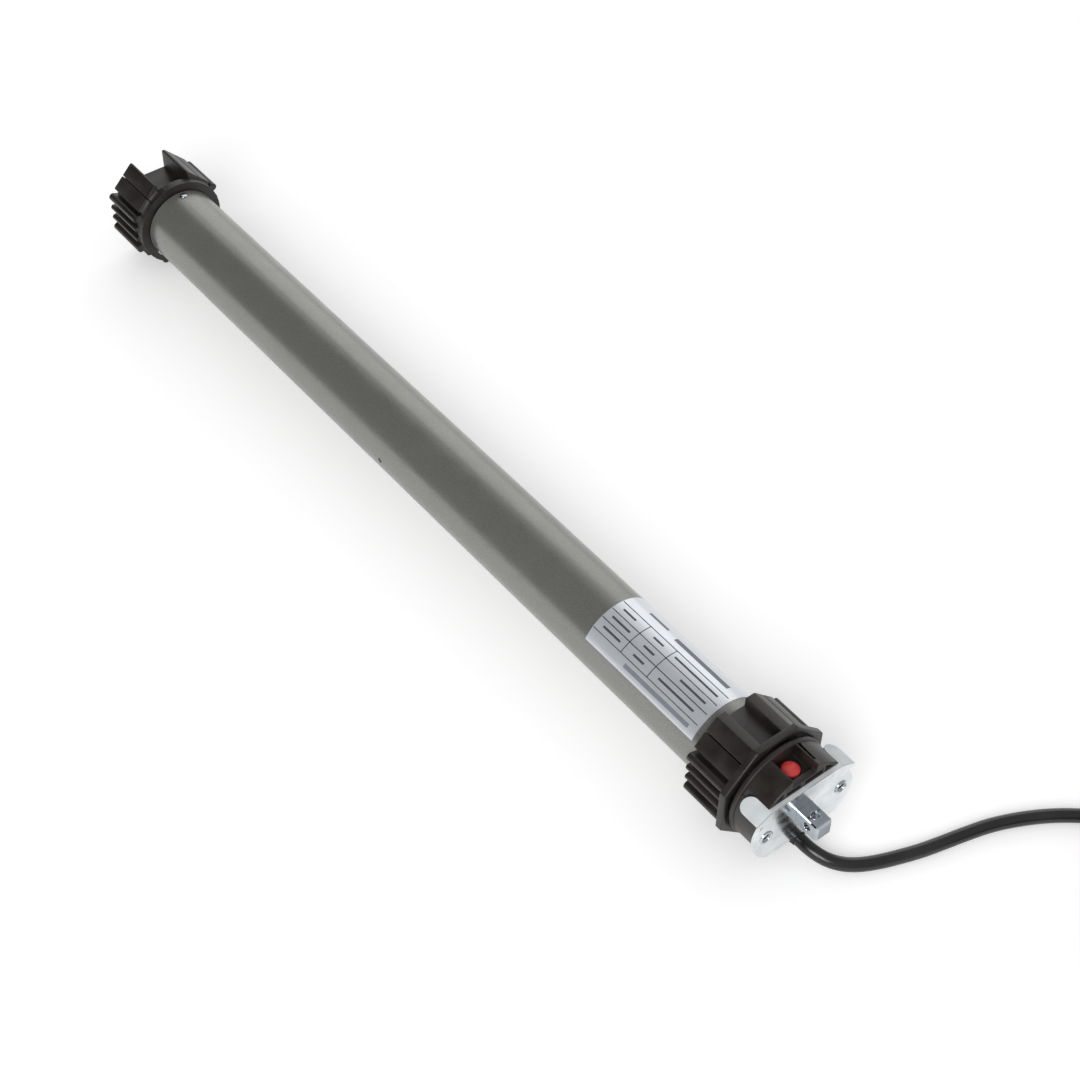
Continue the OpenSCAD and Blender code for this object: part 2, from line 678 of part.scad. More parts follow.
// Control board held between the rails of a carrier with two rings
module board_carrier() color([0.85, 0.85, 0.82]) difference() {
    union() {
        for (x = [carrier_far_x, carrier_near_x - carrier_ring_t]) difference() {
            rod(x, x + carrier_ring_t, inner_r);
            translate([x - 1, -14, -14]) cube([carrier_ring_t + 2, 28, 29]);
        }
        for (y = [-rail_y - 2, rail_y - 1.5]) translate([carrier_far_x, y, pcb_z - 2])
            cube([carrier_near_x - carrier_far_x, 3.5, board_t + 4]);
    }
    translate([carrier_far_x + carrier_ring_t, -rail_y - 0.05, pcb_z - 0.05])
        cube([board_len + 0.4, 2 * rail_y + 0.1, board_t + 0.1]);
}

module control_board() color([0.1, 0.35, 0.2])
    translate([carrier_far_x + carrier_ring_t + 0.2, -rail_y, pcb_z])
        cube([board_len, 2 * rail_y, board_t]);

// Parts on the board: transformer, two relays, smoothing capacitor, terminals and a chip below
transformer = [26, 24, 16];
relay = [15, 18, 14];
relay_pitch = 18;
smoothing_d = 12;
smoothing_h = 15;
terminals = [12, 24, 10];
chip = [10, 8, 2];
part_gap = 4;

module board_parts() {
    x0 = carrier_far_x + carrier_ring_t + part_gap;
    relay_x = x0 + transformer[0] + part_gap;
    smoothing_x = relay_x + 2 * relay_pitch + part_gap + smoothing_d / 2;
    color([0.75, 0.6, 0.2]) translate([x0, -transformer[1] / 2, pcb_top]) cube(transformer);
    for (k = [0:1]) color([0.1, 0.3, 0.6])
        translate([relay_x + relay_pitch * k, -relay[1] / 2, pcb_top]) cube(relay);
    color([0.2, 0.2, 0.25]) translate([smoothing_x, 0, pcb_top])
        cylinder(h = smoothing_h, d = smoothing_d, $fn = 48);
    color([0.2, 0.5, 0.3]) translate([terminal_near_x - terminals[0], -terminals[1] / 2, pcb_top])
        cube(terminals);
    color([0.1, 0.1, 0.1]) translate([relay_x + relay_pitch, -chip[1] / 2, pcb_z - chip[2]]) cube(chip);
}

// Run capacitor, clipped into a plastic cradle
module run_capacitor() color([0.9, 0.9, 0.88]) {
    r = capacitor_d / 2;
    turned([[0, cradle_far_x + 2], [r - 1.5, cradle_far_x + 2], [r, cradle_far_x + 3.5],
            [r, cradle_near_x - 4], [r - 1, cradle_near_x - 3.4], [r - 1.6, cradle_near_x - 2],
            [0, cradle_near_x - 2]]);
    for (y = [-5, 5]) translate([cradle_near_x - 2 - eps, y - 0.4, -3]) cube([4, 0.8, 6]);
}

module capacitor_cradle() color([0.8, 0.8, 0.78]) {
    clip_len = 10;
    for (x = [cradle_far_x, cradle_near_x - clip_len - 2]) difference() {
        rod(x, x + clip_len, inner_r);
        rod(x - 1, x + clip_len + 1, capacitor_d / 2 + 0.05);
        translate([x - 1, -3, 0]) cube([clip_len + 2, 6, tube_d]);
    }
    for (a = [210, 330]) rotate([a, 0, 0])
        translate([cradle_far_x + clip_len - eps, capacitor_d / 2 + 0.8, -3])
            cube([cradle_near_x - cradle_far_x - 2 * clip_len - 2 + 2 * eps, 3, 6]);
}

// Involute gears: half the angle that a tooth covers at the radius r, then the outline
function involute(a) = tan(a) * 180 / PI - a;
function tooth_half(n, r, play) = let (rp = gear_module * n / 2, rb = rp * cos(pressure))
    90 / n - play / 2 / rp * 180 / PI + involute(pressure) - involute(acos(rb / max(r, rb)));
function gear_points(n, low, high, play) = let (rp = gear_module * n / 2,
    radii = [rp - low, rp - low * 0.45, rp, rp + high * 0.5, rp + high])
    [for (i = [0:n - 1], side = [-1, 1], j = [0:4])
        let (r = radii[side < 0 ? j : 4 - j], a = 360 * i / n + side * tooth_half(n, r, play))
        [r * cos(a), r * sin(a)]];

module sun_outline() polygon(gear_points(sun_teeth, dedendum, addendum, backlash));

module planet_outline() rotate(180 / planet_teeth)
    polygon(gear_points(planet_teeth, dedendum, addendum, backlash));

module ring_gear() color([0.6, 0.6, 0.6]) prism(ring_far_x, ring_near_x) difference() {
    circle(r = inner_r, $fn = 128);
    rotate(180 / ring_teeth) polygon(gear_points(ring_teeth, addendum, dedendum, -backlash));
}

// Gear number k of the three in a stage
module planet(x, face, k) color([0.72, 0.72, 0.7]) rotate([120 * k, 0, 0])
    translate([0, center_r, 0]) prism(x, x + face) difference() {
        planet_outline();
        circle(d = planet_pin_d + 2 * run_gap, $fn = 48);
    }

module planet_1a() planet(planet_1_x, face_1, 0);
module planet_1b() planet(planet_1_x, face_1, 1);
module planet_1c() planet(planet_1_x, face_1, 2);
module planet_2a() planet(planet_2_x, face_2, 0);
module planet_2b() planet(planet_2_x, face_2, 1);
module planet_2c() planet(planet_2_x, face_2, 2);
module planet_3a() planet(planet_3_x, face_3, 0);
module planet_3b() planet(planet_3_x, face_3, 1);
module planet_3c() planet(planet_3_x, face_3, 2);

// Three pins that stand on a carrier's disc and reach just past their planets
module planet_pins(x, face) for (k = [0:2]) rotate([120 * k, 0, 0])
    translate([x - eps, center_r, 0]) rotate([0, 90, 0])
        cylinder(h = gap_x + face + 0.6, d = planet_pin_d, $fn = 48);

// Disc with pins on one side and the next stage's sun gear on the other
module carrier(x, face, next_planet_x) {
    rod(x, x + disc_t, carrier_r);
    planet_pins(x + disc_t, face);
    prism(next_planet_x - face_gap, x + eps) sun_outline();
}

module carrier_1() color([0.66, 0.66, 0.68]) carrier(disc_1_x, face_1, planet_2_x);
module carrier_2() color([0.66, 0.66, 0.68]) carrier(disc_2_x, face_2, planet_3_x);

// Output shaft with the third carrier's disc and pins, two flats and a groove for the clip
flat_w = output_d - 3;
clip_x = wheel_near_x - wheel_seat_len - 0.2;
clip_t = 1.2;
groove_r = flat_w / 2 - 0.5;
output_end_x = clip_x - clip_t - 2.8;

module output_shaft() color([0.7, 0.7, 0.72]) difference() {
    union() {
        rod(disc_3_x, disc_3_x + output_disc_t, ring_tip_r - 0.35);
        planet_pins(disc_3_x + output_disc_t, face_3);
        rod(wheel_near_x, disc_3_x + eps, output_d / 2);
        prism(output_end_x, wheel_near_x + eps) intersection() {
            circle(d = output_d, $fn = 96);
            translate([-output_d, -flat_w / 2]) square([2 * output_d, flat_w]);
        }
    }
    difference() {
        rod(clip_x - clip_t - 0.1, clip_x + 0.1, output_d);
        rod(clip_x - clip_t - 1, clip_x + 1, groove_r);
    }
}

module wheel_circlip() color([0.3, 0.3, 0.32]) prism(clip_x - clip_t, clip_x) difference() {
    union() {
        circle(r = output_d / 2 + 1.8, $fn = 64);
        translate([-3, output_d / 2 - 1]) square([6, 4]);
    }
    circle(r = groove_r + seat_gap, $fn = 64);
    translate([-1, 0]) square([2, output_d]);
}

// Bush that closes the tube's far end and carries the output shaft, with its three rivets
module end_bush() color([0.35, 0.35, 0.36]) difference() {
    union() {
        rod(tube_far_x, bush_near_x, inner_r);
        rod(wheel_near_x + face_gap, tube_far_x + eps, inner_r - 2);
    }
    rod(wheel_near_x, bush_near_x + 1, output_d / 2 + run_gap);
    difference() {
        rod(tube_far_x + 12, bush_near_x + 1, inner_r - 3);
        rod(tube_far_x + 11, bush_near_x + 2, output_d / 2 + 3);
    }
    for (a = rivet_angles) around(rivet_x, a) translate([0, 0, bore_r - 6])
        cylinder(h = 8, r = rivet_r + seat_gap, $fn = 24);
}

module tube_rivets() color([0.8, 0.8, 0.8]) for (a = rivet_angles) around(rivet_x, a)
    rotate_extrude($fn = 32) polygon([
        [0, bore_r - 5.5], [rivet_r, bore_r - 5.5], [rivet_r, tube_r + 0.02], [rivet_r + 0.9, tube_r + 0.1],
        [rivet_r + 0.7, tube_r + 0.5], [rivet_r, tube_r + 0.7], [0, tube_r + 0.8]]);

// Brake between gearbox and motor: coil, spring, armature and friction disc
spring_pocket = 8;
brake_spring_r = shaft_r + 2.5;
brake_wire_r = 0.45;

module brake_coil() color([0.55, 0.45, 0.3]) difference() {
    rod(coil_far_x, coil_near_x, inner_r);
    rod(coil_far_x - 1, coil_near_x + 1, shaft_r + 1);
    rod(coil_near_x - spring_pocket, coil_near_x + 1, shaft_r + 4);
    difference() {
        rod(coil_near_x - spring_pocket, coil_near_x + 1, inner_r - 3);
        rod(coil_near_x - spring_pocket - 1, coil_near_x + 2, inner_r - 6);
    }
}

module brake_spring() color([0.7, 0.72, 0.74]) {
    low = coil_near_x - spring_pocket + brake_wire_r + 0.1;
    swept_tube(helix([low, 0, 0], brake_spring_r, armature_x - low - brake_wire_r - 0.1, 3, true),
               brake_wire_r, 6);
}

module brake_armature() color([0.6, 0.62, 0.64]) difference() {
    rod(armature_x, armature_x + armature_t, inner_r - face_gap);
    rod(armature_x - 1, armature_x + armature_t + 1, shaft_r + 1);
}

module brake_disc() color([0.4, 0.33, 0.25]) difference() {
    rod(disc_x, disc_x + brake_disc_t, brake_d / 2);
    rod(disc_x - 1, disc_x + brake_disc_t + 1, shaft_r + 0.02);
}

// End bell of the motor with the seat of its bearing and four holes for the wires
module bell(x, seat_x) difference() {
    rod(x, x + bell_t, inner_r);
    rod(x - 1, x + bell_t + 1, shaft_r + 1.5);
    rod(seat_x, seat_x + bearing_t + 0.05, bearing_r + 0.03);
    for (a = [45:90:315]) rotate([a, 0, 0]) translate([x - 1, (bearing_r + inner_r) / 2, 0])
        rotate([0, 90, 0]) cylinder(h = bell_t + 2, r = 1.6, $fn = 24);
}

module gear_side_bell() color([0.62, 0.62, 0.64]) bell(bell_b_x, bearing_b_x);
module head_side_bell() color([0.62, 0.62, 0.64]) bell(bell_a_x, bearing_a_x - 0.05);

module rotor_bearings() color([0.75, 0.76, 0.78]) for (x = [bearing_a_x, bearing_b_x]) {
    hole = shaft_r + run_gap;
    turned([[hole, x + 0.3], [hole + 0.4, x], [bearing_r - 0.4, x], [bearing_r, x + 0.4],
            [bearing_r, x + bearing_t - 0.4], [bearing_r - 0.4, x + bearing_t],
            [hole + 0.4, x + bearing_t], [hole, x + bearing_t - 0.3]]);
}

// Stator stack with open slots, and the windings that fill them
stator_bore_r = rotor_d / 2 + air_gap;
slot_low = stator_bore_r + 1.2;
slot_high = inner_r - 3;
slot_gap = 0.1;

module stator_slot(shrink) {
    w_low = PI * slot_low / stator_slots / 2;
    w_high = PI * slot_high / stator_slots / 2;
    polygon([[slot_low + shrink, w_low - shrink], [slot_high - shrink, w_high - shrink],
             [slot_high - shrink, shrink - w_high], [slot_low + shrink, shrink - w_low]]);
}

module stator_core() color([0.5, 0.5, 0.52]) prism(stator_far_x, stator_near_x) difference() {
    circle(r = inner_r, $fn = 128);
    circle(r = stator_bore_r, $fn = 96);
    for (k = [0:stator_slots - 1]) rotate(360 * k / stator_slots) {
        stator_slot(0);
        translate([stator_bore_r - 1, -0.8]) square([3, 1.6]);
    }
}

module stator_windings() color([0.72, 0.4, 0.2]) {
    for (k = [0:stator_slots - 1]) rotate([360 * k / stator_slots, 0, 0])
        prism(stator_far_x - 1.5, stator_near_x + 1.5) stator_slot(slot_gap);
    head_len = winding_len - 1.6;
    for (x = [stator_far_x - head_len - 0.6, stator_near_x + 0.6])
        turned([[slot_low + 0.6, x + 2], [slot_low + 2.4, x], [slot_high - 2, x], [slot_high - 0.2, x + 2],
                [slot_high - 0.2, x + head_len - 2], [slot_high - 2, x + head_len],
                [slot_low + 2.4, x + head_len], [slot_low + 0.6, x + head_len - 2]]);
}

// Squirrel-cage rotor with its end rings, the stepped shaft and the first sun gear
module rotor_core() color([0.58, 0.58, 0.6]) difference() {
    union() {
        rod(stator_far_x, stator_near_x, rotor_d / 2);
        rod(stator_far_x - 4, stator_near_x + 4, rotor_d / 2 - 1.2);
    }
    rod(stator_far_x - 5, stator_near_x + 5, shaft_r + 0.02);
}

module motor_shaft() color([0.7, 0.7, 0.72]) {
    rod(plate_near_x + 1, shaft_near_x, shaft_r);
    rod(planet_1_x, plate_near_x + 1 + eps, sun_bore_r);
}

module sun_gear() color([0.72, 0.72, 0.7]) prism(planet_1_x - face_gap, plate_near_x + 0.9) difference() {
    sun_outline();
    circle(r = sun_bore_r + 0.02, $fn = 48);
}

module gearbox_plate() color([0.62, 0.62, 0.64]) prism(ring_near_x, plate_near_x) difference() {
    circle(r = inner_r, $fn = 96);
    circle(r = sun_tip_r + 0.8, $fn = 64);
}

// Drive wheel: ribbed shell, smooth ring, web, hub with flats and stiffeners
wheel_hub_r = output_d / 2 + 6;
clip_room_r = output_d / 2 + 3.5;

module wheel_cavity() difference() {
    circle(d = rib_core_d - 2 * wheel_wall, $fn = 96);
    circle(r = wheel_hub_r, $fn = 96);
    translate([-wheel_slot_w / 2 - wheel_wall, wheel_slot_floor - wheel_wall])
        square([wheel_slot_w + 2 * wheel_wall, rib_af]);
    for (a = [30:60:330]) rotate(a)
        translate([0, -wheel_stiffener_t / 2]) square([rib_af, wheel_stiffener_t]);
}

module drive_wheel() color([0.15, 0.15, 0.15]) difference() {
    union() {
        prism(wheel_far_x, wheel_near_x - wheel_ring_t + eps) rib_outline(wheel_slot_w, wheel_slot_floor);
        rod(wheel_near_x - wheel_ring_t, wheel_near_x, wheel_ring_d / 2);
    }
    prism(wheel_far_x - 1, wheel_near_x - wheel_ring_t - wheel_web_t) wheel_cavity();
    prism(wheel_far_x - 1, wheel_near_x + 1) intersection() {
        circle(r = output_d / 2 + seat_gap, $fn = 96);
        translate([-output_d, -flat_w / 2 - seat_gap]) square([2 * output_d, flat_w + 2 * seat_gap]);
    }
    rod(wheel_far_x - 1, clip_x + 0.2, clip_room_r);
}

motor_tube();
crown();
head_neck();
head_body();
head_plate();
square_pin();
set_button();
button_spring();
switch_board();
cable_gland();
supply_cord();
cord_coil();
cord_cores();
lead_wires();
board_carrier();
control_board();
board_parts();
run_capacitor();
capacitor_cradle();
head_side_bell();
stator_core();
stator_windings();
rotor_core();
motor_shaft();
rotor_bearings();
gear_side_bell();
brake_disc();
brake_armature();
brake_coil();
brake_spring();
gearbox_plate();
ring_gear();
sun_gear();
planet_1a();
planet_1b();
planet_1c();
carrier_1();
planet_2a();
planet_2b();
planet_2c();
carrier_2();
planet_3a();
planet_3b();
planet_3c();
output_shaft();
end_bush();
tube_rivets();
drive_wheel();
wheel_circlip();
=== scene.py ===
# %% [markdown]
# # A tubular roller blind motor
#
# This lesson dresses a motor that pushes into the roller of a blind. Its pieces come from
# a CAD model and already have their true size and place, in metres, with X along the tube
# and Z up. What is left for Blender is what CAD doesn't hold: the cord at its full length,
# the sticker on the tube, soft edges, and the finish of every surface.

# %% Load the motor
import math

import bmesh
import bpy
from mathutils import Matrix, Vector


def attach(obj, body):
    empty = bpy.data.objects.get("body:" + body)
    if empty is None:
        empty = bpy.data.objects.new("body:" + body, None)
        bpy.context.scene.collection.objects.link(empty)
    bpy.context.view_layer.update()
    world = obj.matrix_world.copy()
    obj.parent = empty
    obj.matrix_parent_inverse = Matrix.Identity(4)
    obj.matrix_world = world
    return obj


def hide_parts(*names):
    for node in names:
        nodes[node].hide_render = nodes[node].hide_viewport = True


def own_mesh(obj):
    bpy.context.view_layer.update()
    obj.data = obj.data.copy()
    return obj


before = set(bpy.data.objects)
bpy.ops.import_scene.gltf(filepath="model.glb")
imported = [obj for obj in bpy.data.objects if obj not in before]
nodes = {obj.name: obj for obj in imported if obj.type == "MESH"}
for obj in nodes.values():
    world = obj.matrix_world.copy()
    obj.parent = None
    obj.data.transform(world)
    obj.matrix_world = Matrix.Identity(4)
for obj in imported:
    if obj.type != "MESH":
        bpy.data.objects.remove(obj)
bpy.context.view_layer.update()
bpy.ops.object.select_all(action="DESELECT")

# %% Helper for new objects


def put_in_scene(piece):
    """Links a new object to the scene and makes it the only selected one."""
    bpy.context.scene.collection.objects.link(piece)
    bpy.ops.object.select_all(action="DESELECT")
    bpy.context.view_layer.objects.active = piece
    piece.select_set(True)


# %% [markdown]
# ## The camera
#
# The camera comes first, because the cord is stored outside its view. Its place and lens
# can be guessed by eye, or worked out from things of known size in the picture. Here the
# tube's outlines, the two bolt holes, the square pin and the far end of the tube gave all
# seven values at once, which leaves nothing to guess.

# %% The camera
LENS_MM = 68.48
EYE = Vector((0.3657, -0.4590, 0.7883))
HEADING = math.radians(141.03)
LOOK_DOWN = math.radians(46.61)
ROLL = math.radians(-1.25)


def camera_turn(heading, down_angle, roll):
    """The camera's axes: right, up and back, for a heading from +X towards +Y."""
    ahead = Vector((math.cos(heading) * math.cos(down_angle),
                    math.sin(heading) * math.cos(down_angle),
                    -math.sin(down_angle)))
    right = Vector((math.sin(heading), -math.cos(heading), 0.0))
    down = ahead.cross(right)
    rolled_right = right * math.cos(roll) + down * math.sin(roll)
    rolled_down = down * math.cos(roll) - right * math.sin(roll)
    return Matrix((rolled_right, -rolled_down, -ahead)).transposed()


camera_data = bpy.data.cameras.new("camera")
camera_data.lens = LENS_MM
camera_data.sensor_width = 36.0
camera_data.clip_end = 50.0
camera = bpy.data.objects.new("camera", camera_data)
bpy.context.scene.collection.objects.link(camera)
camera.matrix_world = Matrix.Translation(EYE) @ camera_turn(HEADING, LOOK_DOWN, ROLL).to_4x4()
bpy.context.scene.camera = camera
bpy.context.scene.view_settings.view_transform = "Standard"
print("camera at", [round(v, 3) for v in camera.matrix_world.translation])

# %% [markdown]
# ## The cord
#
# A cord is a fixed length of something flexible, so its route is one line of that length.
# It could be built ring by ring, but a curve with a round bevel stays smooth in its bends
# and is changed by moving a few points. It becomes a mesh once it is laid, because only a
# mesh tells its exact size. The first points are listed: straight out of the head,
# down to the surface and away. The rest is wound up in a loop by a formula, just outside
# the view.

# %% The cord's route
CORD_D = 0.0073
FLOOR_Z = -0.0315
LAY_GAP = 0.0001
LAY_Z = FLOOR_Z + CORD_D / 2 + LAY_GAP
EXIT_Z = -0.0217
ROUTE_STEPS = 5
ROUTE = [
    (-0.016, 0.0, EXIT_Z), (-0.008, 0.0, EXIT_Z), (0.0, 0.0, EXIT_Z - 0.0001),
    (0.008, 0.001, EXIT_Z - 0.0013), (0.015, 0.004, EXIT_Z - 0.0032), (0.021, 0.009, LAY_Z + 0.0013),
    (0.026, 0.016, LAY_Z + 0.0003), (0.0305, 0.025, LAY_Z), (0.0345, 0.035, LAY_Z),
    (0.038, 0.045, LAY_Z), (0.041, 0.056, LAY_Z), (0.044, 0.068, LAY_Z), (0.048, 0.082, LAY_Z),
    (0.054, 0.096, LAY_Z), (0.062, 0.110, LAY_Z), (0.072, 0.123, LAY_Z), (0.084, 0.135, LAY_Z),
    (0.097, 0.146, LAY_Z), (0.110, 0.157, LAY_Z)]


def smooth_route(points, steps):
    """Points on a smooth curve through the given ones, with some steps to each span."""
    points = [Vector(p) for p in points]
    made = []
    for i in range(len(points) - 1):
        a = points[max(i - 1, 0)]
        b = points[i]
        c = points[i + 1]
        d = points[min(i + 2, len(points) - 1)]
        for k in range(steps):
            t = k / steps
            made.append(0.5 * (2 * b + (c - a) * t + (2 * a - 5 * b + 4 * c - d) * t * t
                               + (3 * b - a - 3 * c + d) * t ** 3))
    return made + [points[-1]]


def route_length(points):
    """Length of the line through the points."""
    return sum((b - a).length for a, b in zip(points, points[1:]))


free_route = smooth_route(ROUTE, ROUTE_STEPS)
print("free stretch", round(route_length(free_route), 4))

# %% [markdown]
# The coil spirals in on one layer and out on the next, as a cord does when it is laid down
# by hand, and climbs a layer in the half turn where the spiral reverses. In that half turn
# it bulges a little, which keeps it clear of the turn beside it.

# %% The coil
COIL_LAYERS = 4
COIL_TURNS = 1.25
COIL_OUT_R = 0.0477
COIL_PITCH = CORD_D + 0.00065
COIL_IN_R = COIL_OUT_R - COIL_TURNS * COIL_PITCH
CLIMB = 0.5
BULGE = 0.0012
STEPS_PER_TURN = 40
LAYER_TURNS = COIL_TURNS + CLIMB
TOTAL_TURNS = COIL_LAYERS * LAYER_TURNS - CLIMB

coil_start = free_route[-1]
coil_dir = (coil_start - free_route[-2]).normalized()
coil_center = coil_start + CORD_D * coil_dir + COIL_OUT_R * Vector((coil_dir.y, -coil_dir.x, 0.0))
coil_angle = math.atan2(coil_dir.x, -coil_dir.y)


def coil_offset(turns, radius, height):
    """Offset from the coil's centre after some turns."""
    angle = coil_angle - 2 * math.pi * turns
    return Vector((radius * math.cos(angle), radius * math.sin(angle), height))


def coil_point(turns):
    """The cord's middle after some turns in all."""
    layer = min(int(turns / LAYER_TURNS), COIL_LAYERS - 1)
    done = turns - layer * LAYER_TURNS
    climbed = math.pi * max(done - COIL_TURNS, 0.0) / CLIMB
    run = COIL_PITCH * min(done, COIL_TURNS) + BULGE * math.sin(climbed)
    radius = COIL_OUT_R - run if layer % 2 == 0 else COIL_IN_R + run
    height = COIL_PITCH * (layer + (1 - math.cos(climbed)) / 2)
    return coil_center + coil_offset(turns, radius, height)


coil_steps = round(STEPS_PER_TURN * TOTAL_TURNS)
coil_tail = CORD_D * coil_offset(TOTAL_TURNS + 0.25, 1.0, 0.0)
coil_route = [coil_point(i * TOTAL_TURNS / coil_steps) for i in range(coil_steps + 1)]
coil_route.append(coil_route[-1] + coil_tail)
sheath_route = free_route + coil_route
print("coil", round(route_length(coil_route), 4), "sheath", round(route_length(sheath_route), 4))

# %% The cord's tube
CORE_D = 0.0024
CORE_PITCH = CORE_D + 0.0002
CORE_START = 0.0001
CORE_LEN = 0.045
BARE_LEN = 0.008
COPPER_D = CORE_D * 0.62


def round_tube(name, routes, diameter):
    """A tube with a round section along each route, drawn as a curve and made a mesh."""
    data = bpy.data.curves.new(name, "CURVE")
    data.dimensions = "3D"
    data.bevel_depth = diameter / 2
    data.bevel_resolution = 6
    data.use_fill_caps = True
    for route in routes:
        spline = data.splines.new("POLY")
        spline.points.add(len(route) - 1)
        for point, place in zip(spline.points, route):
            point.co = (*place, 1.0)
        spline.use_smooth = True
    put_in_scene(bpy.data.objects.new(name, data))
    bpy.ops.object.convert(target="MESH")
    print(name, "faces", len(bpy.context.object.data.polygons))
    return bpy.context.object


cord = round_tube("cord_sheath", [sheath_route], CORD_D)

# %% [markdown]
# At its far end the sheath is cut back and shows four cores, which go on along the last
# turn. Each has its own colour, so each is its own piece. The last millimetres are bare
# copper, made as one piece of four short tubes.

# %% The cord's cores
CORE_NAMES = ("brown", "black", "blue", "earth")


def core_route(k, start, end, steps=8):
    """Middle of core k, from one length past the sheath's end to another."""
    side = (k % 2 - 0.5) * CORE_PITCH
    up = (k // 2 - 0.5) * CORE_PITCH
    top = COIL_PITCH * (COIL_LAYERS - 1) + up
    around = 2 * math.pi * COIL_OUT_R
    turns = [TOTAL_TURNS + (start + (end - start) * i / steps) / around for i in range(steps + 1)]
    return [coil_center + coil_tail + coil_offset(t, COIL_OUT_R + side, top) for t in turns]


cores = [round_tube(f"core_{name}", [core_route(k, CORE_START, CORE_LEN - BARE_LEN)], CORE_D)
         for k, name in enumerate(CORE_NAMES)]
bare_routes = [core_route(k, CORE_LEN - BARE_LEN, CORE_LEN) for k in range(len(CORE_NAMES))]
bare_ends = round_tube("core_ends", bare_routes, COPPER_D)
for piece in (*cores, bare_ends):
    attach(piece, "motor")
    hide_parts("cord_cores")
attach(cord, "motor")
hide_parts("supply_cord", "cord_coil")
print("cord in all", round(route_length(sheath_route) + CORE_LEN, 4))

# %% [markdown]
# ## Floor, card and lamps
#
# Satin metal shows its surroundings, so the studio is part of the finish. A wide pale floor
# gives the lower half of the tube its light band, and a dark card over its left side gives
# the dark band, as in a photo studio. Two soft lamps do the rest: one in front on the left
# for shape, one behind on the right that brightens the tube's far flank. More light would
# turn the floor white but wash out the object, so the paper gets a little glow that only
# the camera and mirrors see, and the soft shadow stays.

# %% The floor and the surroundings
FLOOR_SIDE = 60.0
FLOOR_GAP = 0.00005
PAPER_GLOW = 0.3
WORLD_GREY = 0.5


def plain_shader(name):
    """A new material with its main shader."""
    material = bpy.data.materials.new(name)
    material.use_nodes = True
    return material, material.node_tree.nodes["Principled BSDF"]


def floor_finish():
    """Pale paper without gloss, with a glow that only the camera and mirrors see."""
    material, shader = plain_shader("floor_paper")
    shader.inputs["Base Color"].default_value = (0.9, 0.9, 0.9, 1.0)
    shader.inputs["Roughness"].default_value = 0.9
    shader.inputs["Specular IOR Level"].default_value = 0.0
    shader.inputs["Emission Color"].default_value = (1.0, 1.0, 1.0, 1.0)
    tree = material.node_tree
    path = tree.nodes.new("ShaderNodeLightPath")
    mirrored = tree.nodes.new("ShaderNodeMath")
    mirrored.operation = "MAXIMUM"
    seen = tree.nodes.new("ShaderNodeMath")
    seen.operation = "MAXIMUM"
    glow = tree.nodes.new("ShaderNodeMath")
    glow.operation = "MULTIPLY"
    glow.inputs[1].default_value = PAPER_GLOW
    tree.links.new(path.outputs["Is Glossy Ray"], mirrored.inputs[0])
    tree.links.new(path.outputs["Is Transmission Ray"], mirrored.inputs[1])
    tree.links.new(path.outputs["Is Camera Ray"], seen.inputs[0])
    tree.links.new(mirrored.outputs["Value"], seen.inputs[1])
    tree.links.new(seen.outputs["Value"], glow.inputs[0])
    tree.links.new(glow.outputs["Value"], shader.inputs["Emission Strength"])
    return material


bpy.ops.mesh.primitive_plane_add(size=FLOOR_SIDE, location=(0.0, 0.0, FLOOR_Z - FLOOR_GAP))
floor = bpy.context.object
floor.name = "floor"
floor.data.materials.append(floor_finish())

world = bpy.data.worlds.new("surroundings")
world.use_nodes = True
world.node_tree.nodes["Background"].inputs["Color"].default_value = (1.0, 1.0, 1.0, 1.0)
world.node_tree.nodes["Background"].inputs["Strength"].default_value = WORLD_GREY
bpy.context.scene.world = world

# %% The dark card
CARD_SIDE = 5.0
CARD_PLACE = Vector((-1.5, -1.45, 1.35))
TUBE_MIDDLE = Vector((-0.3, 0.0, 0.0))


def card_finish():
    """Black felt, which gives nothing back."""
    material, shader = plain_shader("black_felt")
    shader.inputs["Base Color"].default_value = (0.004, 0.004, 0.004, 1.0)
    shader.inputs["Roughness"].default_value = 1.0
    shader.inputs["Specular IOR Level"].default_value = 0.0
    return material


bpy.ops.mesh.primitive_plane_add(size=CARD_SIDE, location=CARD_PLACE)
card = bpy.context.object
card.name = "dark_card"
card.rotation_euler = (CARD_PLACE - TUBE_MIDDLE).to_track_quat("Z", "Y").to_euler()
card.data.materials.append(card_finish())
card.visible_camera = False
card.visible_diffuse = False
card.visible_shadow = False

# %% The lamps


def soft_lamp(name, place, aim, size, watts):
    """A square area lamp that looks at a point."""
    data = bpy.data.lights.new(name, "AREA")
    data.shape = "RECTANGLE"
    data.size = size[0]
    data.size_y = size[1]
    data.energy = watts
    lamp = bpy.data.objects.new(name, data)
    bpy.context.scene.collection.objects.link(lamp)
    lamp.location = place
    lamp.rotation_euler = (Vector(aim) - Vector(place)).to_track_quat("-Z", "Y").to_euler()
    lamp.visible_camera = False
    return lamp


soft_lamp("front_lamp", (1.1, -1.7, 1.5), (-0.25, 0.0, 0.0), (1.3, 1.3), 36.0)
soft_lamp("side_lamp", (-1.9, 1.5, 1.05), (-0.3, 0.0, 0.0), (2.6, 1.8), 15.0)

# %% [markdown]
# ## Moulded edges
#
# A mould is milled with round cutters, so each rib of the crown, the wheel and the head has
# an edge rounded by about half a millimetre, and each inner corner is filled a little. The
# CAD model has them sharp. A copy of each takes the place of the CAD piece: its loose
# triangles are merged and joined to flat faces, the edges to round are picked by their
# length, their angle and their distance from the tube's middle, and bevelled in one go.

# %% Helpers for rounded copies
SAME_PLACE = 0.00001
FLAT_ANGLE = math.radians(0.5)
SHARP_ANGLE = math.radians(30)
SHORTEST_EDGE = 0.0029


